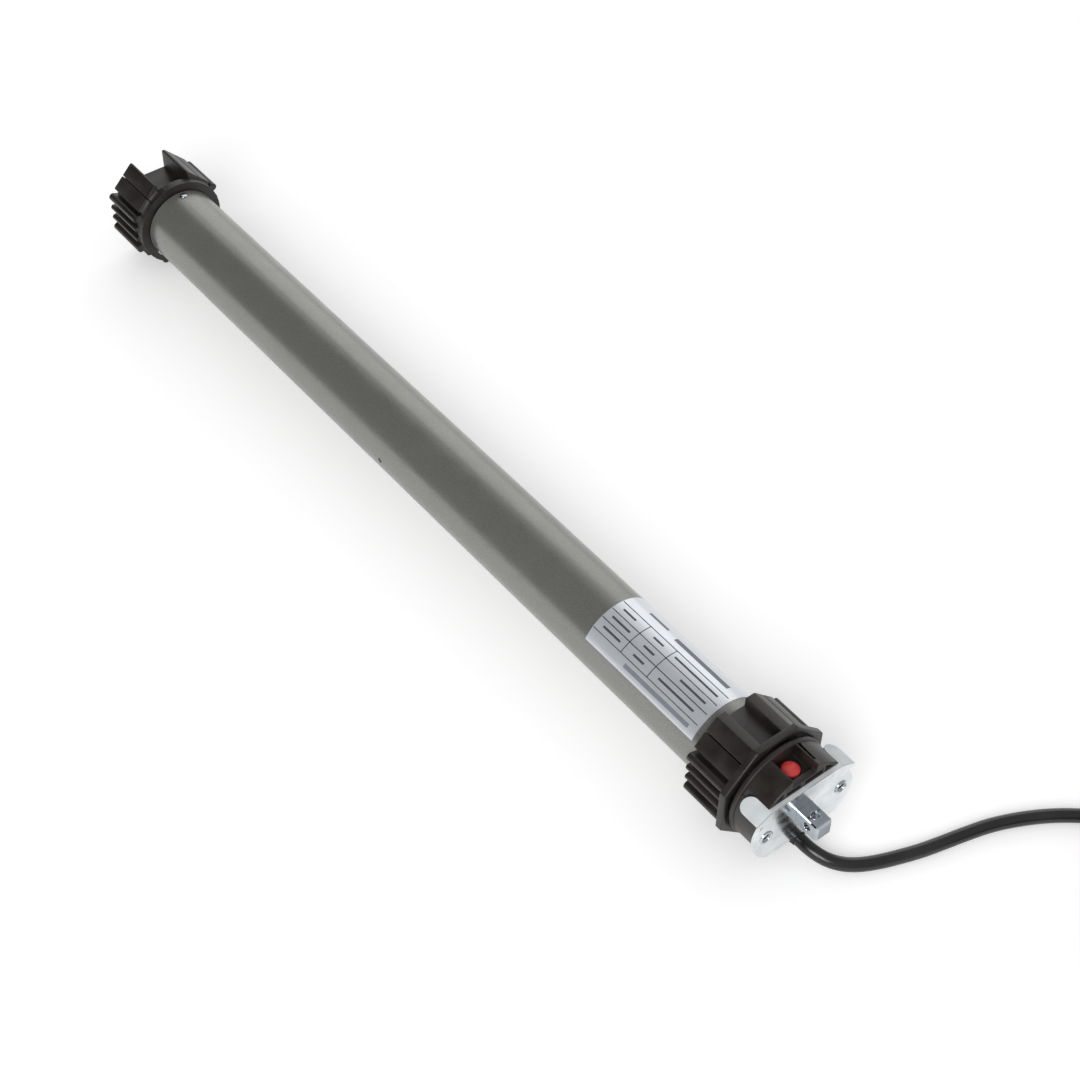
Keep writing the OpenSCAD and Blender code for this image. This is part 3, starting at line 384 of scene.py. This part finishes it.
def merged_copy(name, piece_name):
    """A copy of a CAD node with its loose triangles merged, all selected and in edit mode."""
    piece = bpy.data.objects.new(piece_name, nodes[name].data.copy())
    put_in_scene(piece)
    bpy.ops.object.mode_set(mode="EDIT")
    bpy.ops.mesh.select_all(action="SELECT")
    bpy.ops.mesh.remove_doubles(threshold=SAME_PLACE)
    return piece


def rounded_copy(name, piece_name, body, radius, inner_r, far_end=False):
    """A copy of a CAD node with its long outer edges rounded, which takes the node's place."""
    piece = merged_copy(name, piece_name)
    bpy.ops.mesh.select_mode(type="EDGE")
    bpy.ops.mesh.dissolve_limited(angle_limit=FLAT_ANGLE)
    bpy.ops.mesh.select_all(action="DESELECT")
    mesh = bmesh.from_edit_mesh(piece.data)
    far_x = min(corner.co.x for corner in mesh.verts)
    for edge in mesh.edges:
        ends = [corner.co for corner in edge.verts]
        outside = min(math.hypot(end.y, end.z) for end in ends) > inner_r
        at_far_end = max(end.x for end in ends) < far_x + SAME_PLACE
        wanted = far_end if at_far_end else edge.calc_length() > SHORTEST_EDGE
        edge.select = outside and wanted and edge.calc_face_angle(0.0) > SHARP_ANGLE
    bmesh.update_edit_mesh(piece.data)
    picked = sum(edge.select for edge in mesh.edges)
    bpy.ops.mesh.bevel(offset=radius, segments=3, affect="EDGES", clamp_overlap=False)
    bpy.ops.object.mode_set(mode="OBJECT")
    bpy.ops.object.shade_smooth_by_angle(angle=SHARP_ANGLE)
    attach(piece, body)
    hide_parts(name)
    print(piece_name, "edges rounded", picked, "faces", len(piece.data.polygons))
    return piece


# %% Rounded crown, wheel and head
moulded = [
    rounded_copy("crown", "crown_moulding", "crown", radius=0.0006, inner_r=0.0235, far_end=True),
    rounded_copy("drive_wheel", "wheel_moulding", "output", radius=0.0006, inner_r=0.0215, far_end=True),
    rounded_copy("head_body", "head_moulding", "motor", radius=0.0005, inner_r=0.012)]

# %% [markdown]
# The wheel's slot has a low ledge along its left wall, which guides the roller's key. It is
# a box with rounded edges.

# %% The ledge in the wheel's slot
LEDGE_MIDDLE = (-0.5795, -0.00905, 0.0203)
LEDGE_SIZE = (0.0275, 0.0033, 0.0068)
LEDGE_EDGE_R = 0.0007

bpy.ops.object.select_all(action="DESELECT")
bpy.ops.mesh.primitive_cube_add(size=1.0, location=LEDGE_MIDDLE)
slot_ledge = bpy.context.object
slot_ledge.name = "slot_ledge"
slot_ledge.dimensions = LEDGE_SIZE
bpy.ops.object.transform_apply(location=True, rotation=True, scale=True)
ledge_soft = slot_ledge.modifiers.new("rounding", "BEVEL")
ledge_soft.width = LEDGE_EDGE_R
ledge_soft.segments = 3
bpy.ops.object.modifier_apply(modifier="rounding")
bpy.ops.object.shade_smooth_by_angle(angle=SHARP_ANGLE)
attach(slot_ledge, "output")
print("ledge faces", len(slot_ledge.data.polygons))

# %% [markdown]
# ## The button's spring
#
# The wire spring under the button gets shorter when the button is pressed, which a rigid
# CAD piece can't do. A copy takes its place, with a mesh of its own.

# %% The spring's copy
WIRE_SHARP_ANGLE = math.radians(50)

spring = merged_copy("button_spring", "spring_wire")
bpy.ops.object.mode_set(mode="OBJECT")
bpy.ops.object.shade_smooth_by_angle(angle=WIRE_SHARP_ANGLE)
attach(spring, "motor")
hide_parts("button_spring")
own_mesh(spring)

# %% [markdown]
# ## Threaded rims
#
# The two mounting holes are M6 threads in sheet metal. The sheet is thin, so the punch pulls
# a low collar up round each hole, and the thread is cut through both. The collar is one
# small circle swept round the hole, and the thread a triangle swept with a rise of one
# millimetre a turn, both by the screw modifier. The pin's upper cross hole has a low burr
# of the same kind. Each form is made once and copied.

# %% Rims and threads
HOLES = (("left", -0.024), ("right", 0.024))
HOLE_R = 0.00255
THREAD_INSET = 0.0001
THREAD_RISE = 0.001
THREAD_LOW_X = -0.0024
PIN_HOLE_X = 0.007
PIN_TOP_Z = 0.005
SWEEP_STEPS = 48
SEAM_GAP = 0.000001
RING_SHARP_ANGLE = math.radians(40)


def swept_ring(name, corners, section_r, sweep_r, rise=0.0, turns=1):
    """A small polygon swept round the X axis, with a rise for each turn."""
    bpy.ops.object.select_all(action="DESELECT")
    bpy.ops.mesh.primitive_circle_add(vertices=corners, radius=section_r, rotation=(math.pi / 2, 0.0, 0.0))
    piece = bpy.context.object
    piece.name = name
    bpy.ops.object.transform_apply(location=True, rotation=True, scale=True)
    bpy.ops.object.mode_set(mode="EDIT")
    bpy.ops.mesh.select_all(action="SELECT")
    bpy.ops.transform.translate(value=(0.0, 0.0, sweep_r))
    bpy.ops.object.mode_set(mode="OBJECT")
    sweep = piece.modifiers.new("sweep", "SCREW")
    sweep.axis = "X"
    sweep.steps = SWEEP_STEPS
    sweep.render_steps = SWEEP_STEPS
    sweep.screw_offset = rise
    sweep.iterations = turns
    sweep.use_merge_vertices = rise == 0.0
    sweep.merge_threshold = SEAM_GAP
    bpy.ops.object.modifier_apply(modifier="sweep")
    bpy.ops.object.mode_set(mode="EDIT")
    bpy.ops.mesh.select_all(action="SELECT")
    bpy.ops.mesh.normals_make_consistent(inside=False)
    bpy.ops.object.mode_set(mode="OBJECT")
    bpy.ops.object.shade_smooth_by_angle(angle=RING_SHARP_ANGLE)
    return piece


def placed_copy(piece, name, place, turn=0.0):
    """A copy with its own mesh, turned about Y and moved, with its origin left at zero."""
    placed = bpy.data.objects.new(name, piece.data.copy())
    bpy.context.scene.collection.objects.link(placed)
    placed.data.transform(Matrix.Translation(place) @ Matrix.Rotation(turn, 4, "Y"))
    return placed


rim = swept_ring("rim_form", corners=12, section_r=0.0007, sweep_r=0.0033)
thread = swept_ring("thread_form", corners=3, section_r=0.00042, sweep_r=HOLE_R - THREAD_INSET,
                    rise=THREAD_RISE, turns=2)
burr = swept_ring("burr_form", corners=8, section_r=0.00035, sweep_r=0.0024)
rims = [placed_copy(rim, f"thread_rim_{side}", (0.0, y, 0.0)) for side, y in HOLES]
rims.append(placed_copy(burr, "pin_hole_burr", (PIN_HOLE_X, 0.0, PIN_TOP_Z), math.pi / 2))
threads = [placed_copy(thread, f"thread_{side}", (THREAD_LOW_X, y, 0.0)) for side, y in HOLES]
for form in (rim, thread, burr):
    bpy.data.objects.remove(form)
for piece in rims + threads:
    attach(piece, "motor")
print("rims and threads", len(rims + threads))

# %% [markdown]
# ## Finishes
#
# Hardly any surface is one flat colour. A finish chooses from three habits: a noise that
# drifts the colour a little, one that breaks up the gloss, and a very fine one that lifts
# the surface as grain. Moulded and stamped edges are never sharp, so there a rounding of
# the normals near each edge goes under the grain. All patterns use object coordinates in
# metres, so a noise's scale is the number of its waves in a metre.

# %% Helpers for the finishes


def finish(name, color, roughness, metallic=0.0, edge=0.0003):
    """A new finish with its object coordinates and rounded edges ready for more nodes."""
    material, shader = plain_shader(name)
    shader.inputs["Base Color"].default_value = (*color, 1.0)
    shader.inputs["Roughness"].default_value = roughness
    shader.inputs["Metallic"].default_value = metallic
    tree = material.node_tree
    coordinates = tree.nodes.new("ShaderNodeTexCoord")
    coordinates.name = "place"
    if edge:
        rounding = tree.nodes.new("ShaderNodeBevel")
        rounding.name = "rounding"
        rounding.samples = 6
        rounding.inputs["Radius"].default_value = edge
        tree.links.new(rounding.outputs["Normal"], shader.inputs["Normal"])
    return material


def noise(material, waves, detail=3.0, stretch=(1.0, 1.0, 1.0)):
    """Noise on the object's own coordinates, with its number of waves in a metre."""
    tree = material.node_tree
    mapping = tree.nodes.new("ShaderNodeMapping")
    mapping.inputs["Scale"].default_value = stretch
    pattern = tree.nodes.new("ShaderNodeTexNoise")
    pattern.inputs["Scale"].default_value = waves
    pattern.inputs["Detail"].default_value = detail
    tree.links.new(tree.nodes["place"].outputs["Object"], mapping.inputs["Vector"])
    tree.links.new(mapping.outputs["Vector"], pattern.inputs["Vector"])
    return pattern.outputs["Fac"]


def drift_color(material, pattern, dark, light, low=0.35, high=0.65):
    """The base colour follows a pattern between two colours."""
    tree = material.node_tree
    ramp = tree.nodes.new("ShaderNodeValToRGB")
    ramp.color_ramp.elements[0].position = low
    ramp.color_ramp.elements[0].color = (*dark, 1.0)
    ramp.color_ramp.elements[1].position = high
    ramp.color_ramp.elements[1].color = (*light, 1.0)
    tree.links.new(pattern, ramp.inputs["Fac"])
    tree.links.new(ramp.outputs["Color"], tree.nodes["Principled BSDF"].inputs["Base Color"])


def drift_roughness(material, pattern, low, high):
    """The roughness follows a pattern between two values."""
    tree = material.node_tree
    spread = tree.nodes.new("ShaderNodeMapRange")
    spread.inputs["From Min"].default_value = 0.3
    spread.inputs["From Max"].default_value = 0.7
    spread.inputs["To Min"].default_value = low
    spread.inputs["To Max"].default_value = high
    tree.links.new(pattern, spread.inputs["Value"])
    tree.links.new(spread.outputs["Result"], tree.nodes["Principled BSDF"].inputs["Roughness"])


def grain(material, pattern, depth, strength=0.5):
    """A pattern lifts the surface, by a depth in metres, over the rounded edges."""
    tree = material.node_tree
    bump = tree.nodes.new("ShaderNodeBump")
    bump.inputs["Strength"].default_value = strength
    bump.inputs["Distance"].default_value = depth
    tree.links.new(pattern, bump.inputs["Height"])
    if "rounding" in tree.nodes:
        tree.links.new(tree.nodes["rounding"].outputs["Normal"], bump.inputs["Normal"])
    tree.links.new(bump.outputs["Normal"], tree.nodes["Principled BSDF"].inputs["Normal"])


def coat(piece, material):
    """Puts a finish in each of a piece's material slots."""
    for slot in piece.material_slots:
        slot.material = material


def dress(material, *names):
    """Gives CAD nodes a finish."""
    for name in names:
        coat(nodes[name], material)
    print(material.name, "on", len(names), "nodes")


# %% [markdown]
# The tube is steel with a thin grey metallic paint. Metallic paint is neither metal nor
# plastic: tiny flakes lie in it and give it half a metal's reflection. A half value of
# metallic does the same, and a fine speckle in the colour stands for the flakes.

# %% Tube paint


def tube_paint():
    """Satin grey metallic paint with a fine speckle."""
    material = finish("tube_paint", (0.245, 0.245, 0.23), 0.3, 0.5, edge=0.0)
    drift_color(material, noise(material, 1700.0, 2.0), (0.215, 0.215, 0.2), (0.275, 0.275, 0.26))
    drift_roughness(material, noise(material, 60.0), 0.26, 0.34)
    grain(material, noise(material, 2200.0, 0.0), 0.00002, 0.2)
    return material


dress(tube_paint(), "motor_tube")

# %% [markdown]
# The crown, the wheel and the head are moulded in black plastic with glass fibre. It isn't
# quite black but a warm dark brown, its surface is eroded to a fine grain, and handling
# leaves duller and shinier patches.

# %% Black moulded plastic


def black_plastic(name, edge):
    """Warm black plastic with moulded grain and uneven gloss."""
    material = finish(name, (0.020, 0.0165, 0.0145), 0.42, edge=edge)
    drift_color(material, noise(material, 90.0, 4.0), (0.014, 0.0112, 0.0100), (0.027, 0.0222, 0.0200))
    drift_roughness(material, noise(material, 45.0, 5.0), 0.34, 0.52)
    grain(material, noise(material, 1500.0, 3.0), 0.00006, 0.5)
    return material


moulded_black = black_plastic("black_plastic", 0.0005)
dress(moulded_black, "head_neck")
for piece in moulded:
    coat(piece, moulded_black)
slot_ledge.data.materials.append(moulded_black)
dress(black_plastic("bush_plastic", 0.0003), "end_bush")

# %% [markdown]
# The head plate is pressed from steel sheet and bright zinc plated, which mirrors almost as
# well as chrome but bluer, with faint clouds from the bath and fine scratches from the
# drum.

# %% Bright zinc


def bright_zinc(name, roughness, dark, light):
    """Zinc plating: a bluish mirror with faint clouds and scratches."""
    material = finish(name, light, roughness, 1.0, edge=0.0003)
    drift_color(material, noise(material, 120.0, 4.0), dark, light)
    drift_roughness(material, noise(material, 260.0, 5.0, (1.0, 0.15, 1.0)), roughness * 0.7, roughness * 1.6)
    grain(material, noise(material, 700.0, 3.0, (1.0, 0.1, 1.0)), 0.00002, 0.2)
    return material


def dull_beyond(material, start, end, metallic):
    """The finish turns from a mirror to a duller, milky one between two places along X."""
    tree = material.node_tree
    split = tree.nodes.new("ShaderNodeSeparateXYZ")
    spread = tree.nodes.new("ShaderNodeMapRange")
    spread.inputs["From Min"].default_value = end
    spread.inputs["From Max"].default_value = start
    spread.inputs["To Min"].default_value = metallic
    spread.inputs["To Max"].default_value = 1.0
    tree.links.new(tree.nodes["place"].outputs["Object"], split.inputs["Vector"])
    tree.links.new(split.outputs["X"], spread.inputs["Value"])
    tree.links.new(spread.outputs["Result"], tree.nodes["Principled BSDF"].inputs["Metallic"])


zinc_plate = bright_zinc("zinc_plate", 0.16, (0.62, 0.65, 0.67), (0.74, 0.77, 0.78))
dull_beyond(zinc_plate, start=-0.0001, end=-0.0004, metallic=0.05)
dress(zinc_plate, "head_plate")
pin_zinc_and_thread_shade = bright_zinc("pin_zinc_and_thread_shade", 0.1, (0.36, 0.40, 0.44), (0.46, 0.50, 0.54))
dull_beyond(pin_zinc_and_thread_shade, start=0.0126, end=0.0132, metallic=0.1)
dress(pin_zinc_and_thread_shade, "square_pin", "tube_rivets")
# The collars are the plate's own zinc, given a darker colour as painted shade so that they stand out from the
# plate.
zinc_rim_painted_shade = bright_zinc("zinc_rim_painted_shade", 0.12, (0.50, 0.53, 0.55), (0.62, 0.65, 0.67))
for piece in rims:
    piece.data.materials.append(zinc_rim_painted_shade)
# The threads are cut in the plate, but take the pin's darker zinc as painted shade inside the holes.
for piece in threads:
    piece.data.materials.append(pin_zinc_and_thread_shade)

# %% Red button


def button_red():
    """Glossy red plastic, a little faded."""
    material = finish("button_red", (0.72, 0.055, 0.055), 0.32, edge=0.0004)
    drift_color(material, noise(material, 300.0), (0.66, 0.045, 0.045), (0.78, 0.075, 0.07))
    grain(material, noise(material, 1200.0), 0.00003, 0.3)
    return material


dress(button_red(), "set_button")

# %% [markdown]
# Cords of this kind are sheathed in soft black plastic. The extruder leaves very fine lines
# along the cord, too fine to see, but they soften its highlight.

# %% Cord and gland


def cord_black():
    """Soft black sheath with a soft highlight."""
    material = finish("cord_black", (0.012, 0.012, 0.013), 0.34, edge=0.0)
    drift_color(material, noise(material, 50.0), (0.009, 0.009, 0.010), (0.016, 0.016, 0.017))
    drift_roughness(material, noise(material, 130.0), 0.18, 0.27)
    grain(material, noise(material, 900.0), 0.00004, 0.25)
    return material


def gland_rubber():
    """Moulded rubber, duller than the sheath."""
    material = finish("gland_rubber", (0.018, 0.018, 0.018), 0.6, edge=0.0003)
    grain(material, noise(material, 1100.0), 0.00005, 0.4)
    return material


cord.data.materials.append(cord_black())
dress(gland_rubber(), "cable_gland")

# %% Core insulation and copper


def insulation(name, color):
    """Thin coloured insulation."""
    material = finish(name, color, 0.4, edge=0.0)
    dark = tuple(v * 0.85 for v in color)
    drift_color(material, noise(material, 400.0), dark, color)
    return material


def copper(name, roughness):
    """Bare copper, slightly browned."""
    material = finish(name, (0.78, 0.36, 0.2), roughness, 1.0, edge=0.0)
    drift_color(material, noise(material, 350.0), (0.62, 0.27, 0.15), (0.83, 0.42, 0.25))
    grain(material, noise(material, 1800.0, 2.0), 0.00005, 0.5)
    return material


CORE_COLORS = ((0.13, 0.045, 0.02), (0.012, 0.012, 0.012), (0.02, 0.09, 0.42), (0.16, 0.36, 0.03))
for piece, core_name, core_color in zip(cores, CORE_NAMES, CORE_COLORS):
    piece.data.materials.append(insulation(f"core_{core_name}", core_color))
bare_ends.data.materials.append(copper("bare_copper", 0.3))
dress(insulation("lead_blue", (0.02, 0.09, 0.42)), "lead_wires")
dress(copper("enamelled_copper", 0.35), "stator_windings")

# %% [markdown]
# Inside the tube nothing is painted: turned steel, sintered gears, die-cast bells, stamped
# laminations. They differ in colour, gloss and in the direction of their marks. Turned
# pieces have fine rings round the axis, which is noise stretched thin along X.

# %% Metals inside the tube
SHEET_T = 0.0005
WAVES_PER_SCALE = 3.2


def turned_steel(name, color, roughness):
    """Turned steel with fine rings round the X axis."""
    material = finish(name, color, roughness, 1.0)
    drift_roughness(material, noise(material, 40.0, 3.0, (40.0, 1.0, 1.0)), roughness * 0.7, roughness * 1.5)
    grain(material, noise(material, 30.0, 2.0, (60.0, 1.0, 1.0)), 0.00003, 0.4)
    return material


def sintered_steel():
    """Sintered gear steel with its oil and pores."""
    material = finish("sintered_steel", (0.27, 0.27, 0.28), 0.42, 1.0, edge=0.0002)
    drift_color(material, noise(material, 900.0, 4.0), (0.19, 0.19, 0.2), (0.32, 0.32, 0.33))
    grain(material, noise(material, 1600.0, 4.0), 0.00006, 0.6)
    return material


def die_cast():
    """Die-cast alloy with its grey skin."""
    material = finish("die_cast", (0.45, 0.46, 0.47), 0.46, 1.0)
    drift_color(material, noise(material, 160.0, 5.0), (0.38, 0.39, 0.40), (0.52, 0.53, 0.54))
    grain(material, noise(material, 800.0, 4.0), 0.00008, 0.6)
    return material


def laminations(name, color):
    """Stacked thin sheets, seen as lines round the core."""
    material = finish(name, color, 0.5, 1.0, edge=0.0002)
    tree = material.node_tree
    sheets = tree.nodes.new("ShaderNodeTexWave")
    sheets.bands_direction = "X"
    sheets.inputs["Scale"].default_value = 1.0 / (2 * SHEET_T * WAVES_PER_SCALE)
    sheets.inputs["Distortion"].default_value = 0.0
    tree.links.new(tree.nodes["place"].outputs["Object"], sheets.inputs["Vector"])
    grain(material, sheets.outputs["Fac"], 0.0001, 0.8)
    return material


def dark_iron():
    """Blued magnet iron."""
    material = finish("dark_iron", (0.12, 0.12, 0.13), 0.4, 1.0)
    drift_color(material, noise(material, 200.0, 4.0), (0.08, 0.08, 0.09), (0.15, 0.15, 0.17))
    return material


dress(turned_steel("shaft_steel", (0.56, 0.57, 0.58), 0.24), "motor_shaft", "output_shaft")
dress(turned_steel("bearing_steel", (0.62, 0.63, 0.64), 0.16), "rotor_bearings")
spring_steel = turned_steel("spring_steel", (0.42, 0.43, 0.45), 0.3)
dress(spring_steel, "brake_spring", "wheel_circlip")
coat(spring, spring_steel)
gear_nodes = ["ring_gear", "sun_gear", "carrier_1", "carrier_2"]
gear_nodes += [f"planet_{stage}{letter}" for stage in "123" for letter in "abc"]
dress(sintered_steel(), *gear_nodes)
dress(die_cast(), "head_side_bell", "gear_side_bell", "gearbox_plate")
dress(laminations("stator_sheets", (0.30, 0.30, 0.31)), "stator_core")
dress(laminations("rotor_sheets", (0.36, 0.36, 0.37)), "rotor_core")
dress(dark_iron(), "brake_armature", "brake_coil")

# %% Plastics, boards and the friction disc


def light_plastic(name, color):
    """Pale technical plastic."""
    material = finish(name, color, 0.5)
    drift_color(material, noise(material, 70.0), tuple(v * 0.93 for v in color), color)
    grain(material, noise(material, 1300.0), 0.00004, 0.3)
    return material


def board_lacquer():
    """Green solder lacquer over copper tracks, which show as lighter bands."""
    material = finish("board_lacquer", (0.015, 0.11, 0.035), 0.3, edge=0.0)
    drift_color(material, noise(material, 160.0, 0.0, (0.3, 1.0, 1.0)), (0.012, 0.09, 0.03),
                (0.03, 0.17, 0.06), 0.49, 0.51)
    return material


def friction_lining():
    """Pressed lining with light and dark fibres."""
    material = finish("friction_lining", (0.06, 0.045, 0.035), 0.85)
    drift_color(material, noise(material, 1100.0, 5.0), (0.03, 0.025, 0.02), (0.14, 0.11, 0.08))
    grain(material, noise(material, 1500.0, 4.0), 0.0001, 0.8)
    return material


white_plastic = light_plastic("white_plastic", (0.68, 0.68, 0.64))
dress(white_plastic, "board_carrier", "capacitor_cradle", "run_capacitor")
dress(light_plastic("dark_parts", (0.025, 0.025, 0.03)), "board_parts")
dress(board_lacquer(), "control_board", "switch_board")
dress(friction_lining(), "brake_disc")

# %% [markdown]
# ## The sticker
#
# A rating sticker of silver foil goes a third round the tube. It could be a picture, but then
# it would need an image file. Here it starts as a short open cylinder of the tube's size.
# The part that isn't foil is cut away, the printed rules are cut out of the sheet as
# narrow faces, and those faces get ink in place of foil.

# %% The sticker's sheet
TUBE_R = 0.0225
STICKER_GAP = 0.00004
STICKER_T = 0.00009
STICKER_FAR_X = -0.1392
STICKER_NEAR_X = -0.0584
STICKER_LOW = 28
STICKER_HIGH = 153
RULE = 0.0005


def cut_through(point, normal):
    """Cuts all of the mesh in edit mode along a plane, and keeps both sides."""
    bpy.ops.mesh.select_all(action="SELECT")
    bpy.ops.mesh.bisect(plane_co=point, plane_no=normal)


def cut_round(x):
    """A cut round the tube at one place along it."""
    cut_through((x, 0.0, 0.0), (1.0, 0.0, 0.0))


def cut_along(angle):
    """A cut along the tube, at an angle from +Y towards +Z."""
    cut_through((0.0, 0.0, 0.0), (0.0, -math.sin(angle), math.cos(angle)))


bpy.ops.mesh.primitive_cylinder_add(
    vertices=240, radius=TUBE_R + STICKER_GAP, depth=STICKER_NEAR_X - STICKER_FAR_X, end_fill_type="NOTHING",
    location=((STICKER_NEAR_X + STICKER_FAR_X) / 2, 0.0, 0.0), rotation=(0.0, math.pi / 2, 0.0))
sticker = bpy.context.object
sticker.name = "rating_sticker"
bpy.ops.object.transform_apply(location=True, rotation=True, scale=True)

# %% [markdown]
# The table on the sticker has four long rules along the tube and two short ones round it,
# which make nine cells. A long rule is given by its angle, a short one by its place. In
# place of words each cell has a plain bar, given by its angle, its height in degrees and
# its two ends. The strips beside the table hold longer bars.

# %% The printed rules
LONG_RULES = (133.0, 115.6, 98.9, 80.2)
SHORT_RULES = (-0.1177, -0.0978)
TABLE_ENDS = (-0.1388, -0.0602)
CELL_BARS = ((124, 3, -0.0925, -0.0665), (124, 3, -0.1115, -0.1035), (124, 3, -0.1345, -0.1215),
             (107, 3, -0.0835, -0.0650), (107, 3, -0.1110, -0.1030), (107, 3, -0.1350, -0.1215),
             (89.5, 3, -0.0955, -0.0640), (89.5, 3, -0.1115, -0.1040), (89.5, 3, -0.1345, -0.1250))
STRIP_BARS = ((142, 6, -0.1120, -0.0640), (66, 8, -0.1050, -0.0660), (62, 5, -0.1260, -0.1120))
rule_half = math.degrees(RULE / 2 / TUBE_R)
rule_patches = [(a - rule_half, a + rule_half, *TABLE_ENDS) for a in LONG_RULES]
rule_patches += [(LONG_RULES[3], LONG_RULES[0], x - RULE / 2, x + RULE / 2) for x in SHORT_RULES]
bar_patches = [(a - w / 2, a + w / 2, x0, x1) for a, w, x0, x1 in CELL_BARS]
strip_patches = [(a - w / 2, a + w / 2, x0, x1) for a, w, x0, x1 in STRIP_BARS]

bpy.ops.object.mode_set(mode="EDIT")
patches = rule_patches + bar_patches + strip_patches
for x in sorted({x for patch in patches for x in patch[2:]}):
    cut_round(x)
for angle in sorted({STICKER_LOW, STICKER_HIGH, *(a for patch in patches for a in patch[:2])}):
    cut_along(math.radians(angle))
bpy.ops.mesh.select_mode(type="FACE")
bpy.ops.mesh.select_all(action="DESELECT")
bpy.ops.object.mode_set(mode="OBJECT")


def around(point):
    """Angle of a point from +Y towards +Z, in degrees."""
    return math.degrees(math.atan2(point.z, point.y))


for face in sticker.data.polygons:
    face.select = not STICKER_LOW < around(face.center) < STICKER_HIGH
bpy.ops.object.mode_set(mode="EDIT")
bpy.ops.mesh.delete(type="FACE")
bpy.ops.mesh.select_all(action="SELECT")
bpy.ops.mesh.normals_make_consistent(inside=False)
bpy.ops.object.mode_set(mode="OBJECT")
print("sticker faces", len(sticker.data.polygons))

# %% The sticker's foil and ink


def foil(name, dark, light):
    """Brushed silver foil."""
    material = finish(name, light, 0.3, 0.5, edge=0.0)
    drift_color(material, noise(material, 500.0, 3.0, (0.2, 1.0, 1.0)), dark, light)
    drift_roughness(material, noise(material, 200.0), 0.28, 0.34)
    return material


def ink(name, color):
    """Printer's ink, flat and dull."""
    material = finish(name, color, 0.55, edge=0.0)
    drift_color(material, noise(material, 2500.0), color, tuple(v * 1.4 for v in color))
    return material


sticker.data.materials.append(foil("foil", (0.72, 0.75, 0.79), (0.76, 0.79, 0.83)))
sticker.data.materials.append(ink("ink_rule", (0.012, 0.014, 0.02)))
sticker.data.materials.append(ink("ink_bar", (0.05, 0.055, 0.07)))
sticker.data.materials.append(ink("ink_pale", (0.16, 0.17, 0.20)))
for face in sticker.data.polygons:
    here = around(face.center)
    for slot, group in ((1, rule_patches), (2, bar_patches), (3, strip_patches)):
        if any(a0 < here < a1 and x0 < face.center.x < x1 for a0, a1, x0, x1 in group):
            face.material_index = slot
thickness = sticker.modifiers.new("thickness", "SOLIDIFY")
thickness.thickness = STICKER_T
thickness.offset = 1.0
bpy.ops.object.modifier_apply(modifier="thickness")
bpy.ops.object.shade_smooth_by_angle(angle=SHARP_ANGLE)
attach(sticker, "motor")

# %% [markdown]
# ## The end
#
# The last cell leaves nothing selected.

# %% The end
bpy.ops.object.select_all(action="DESELECT")
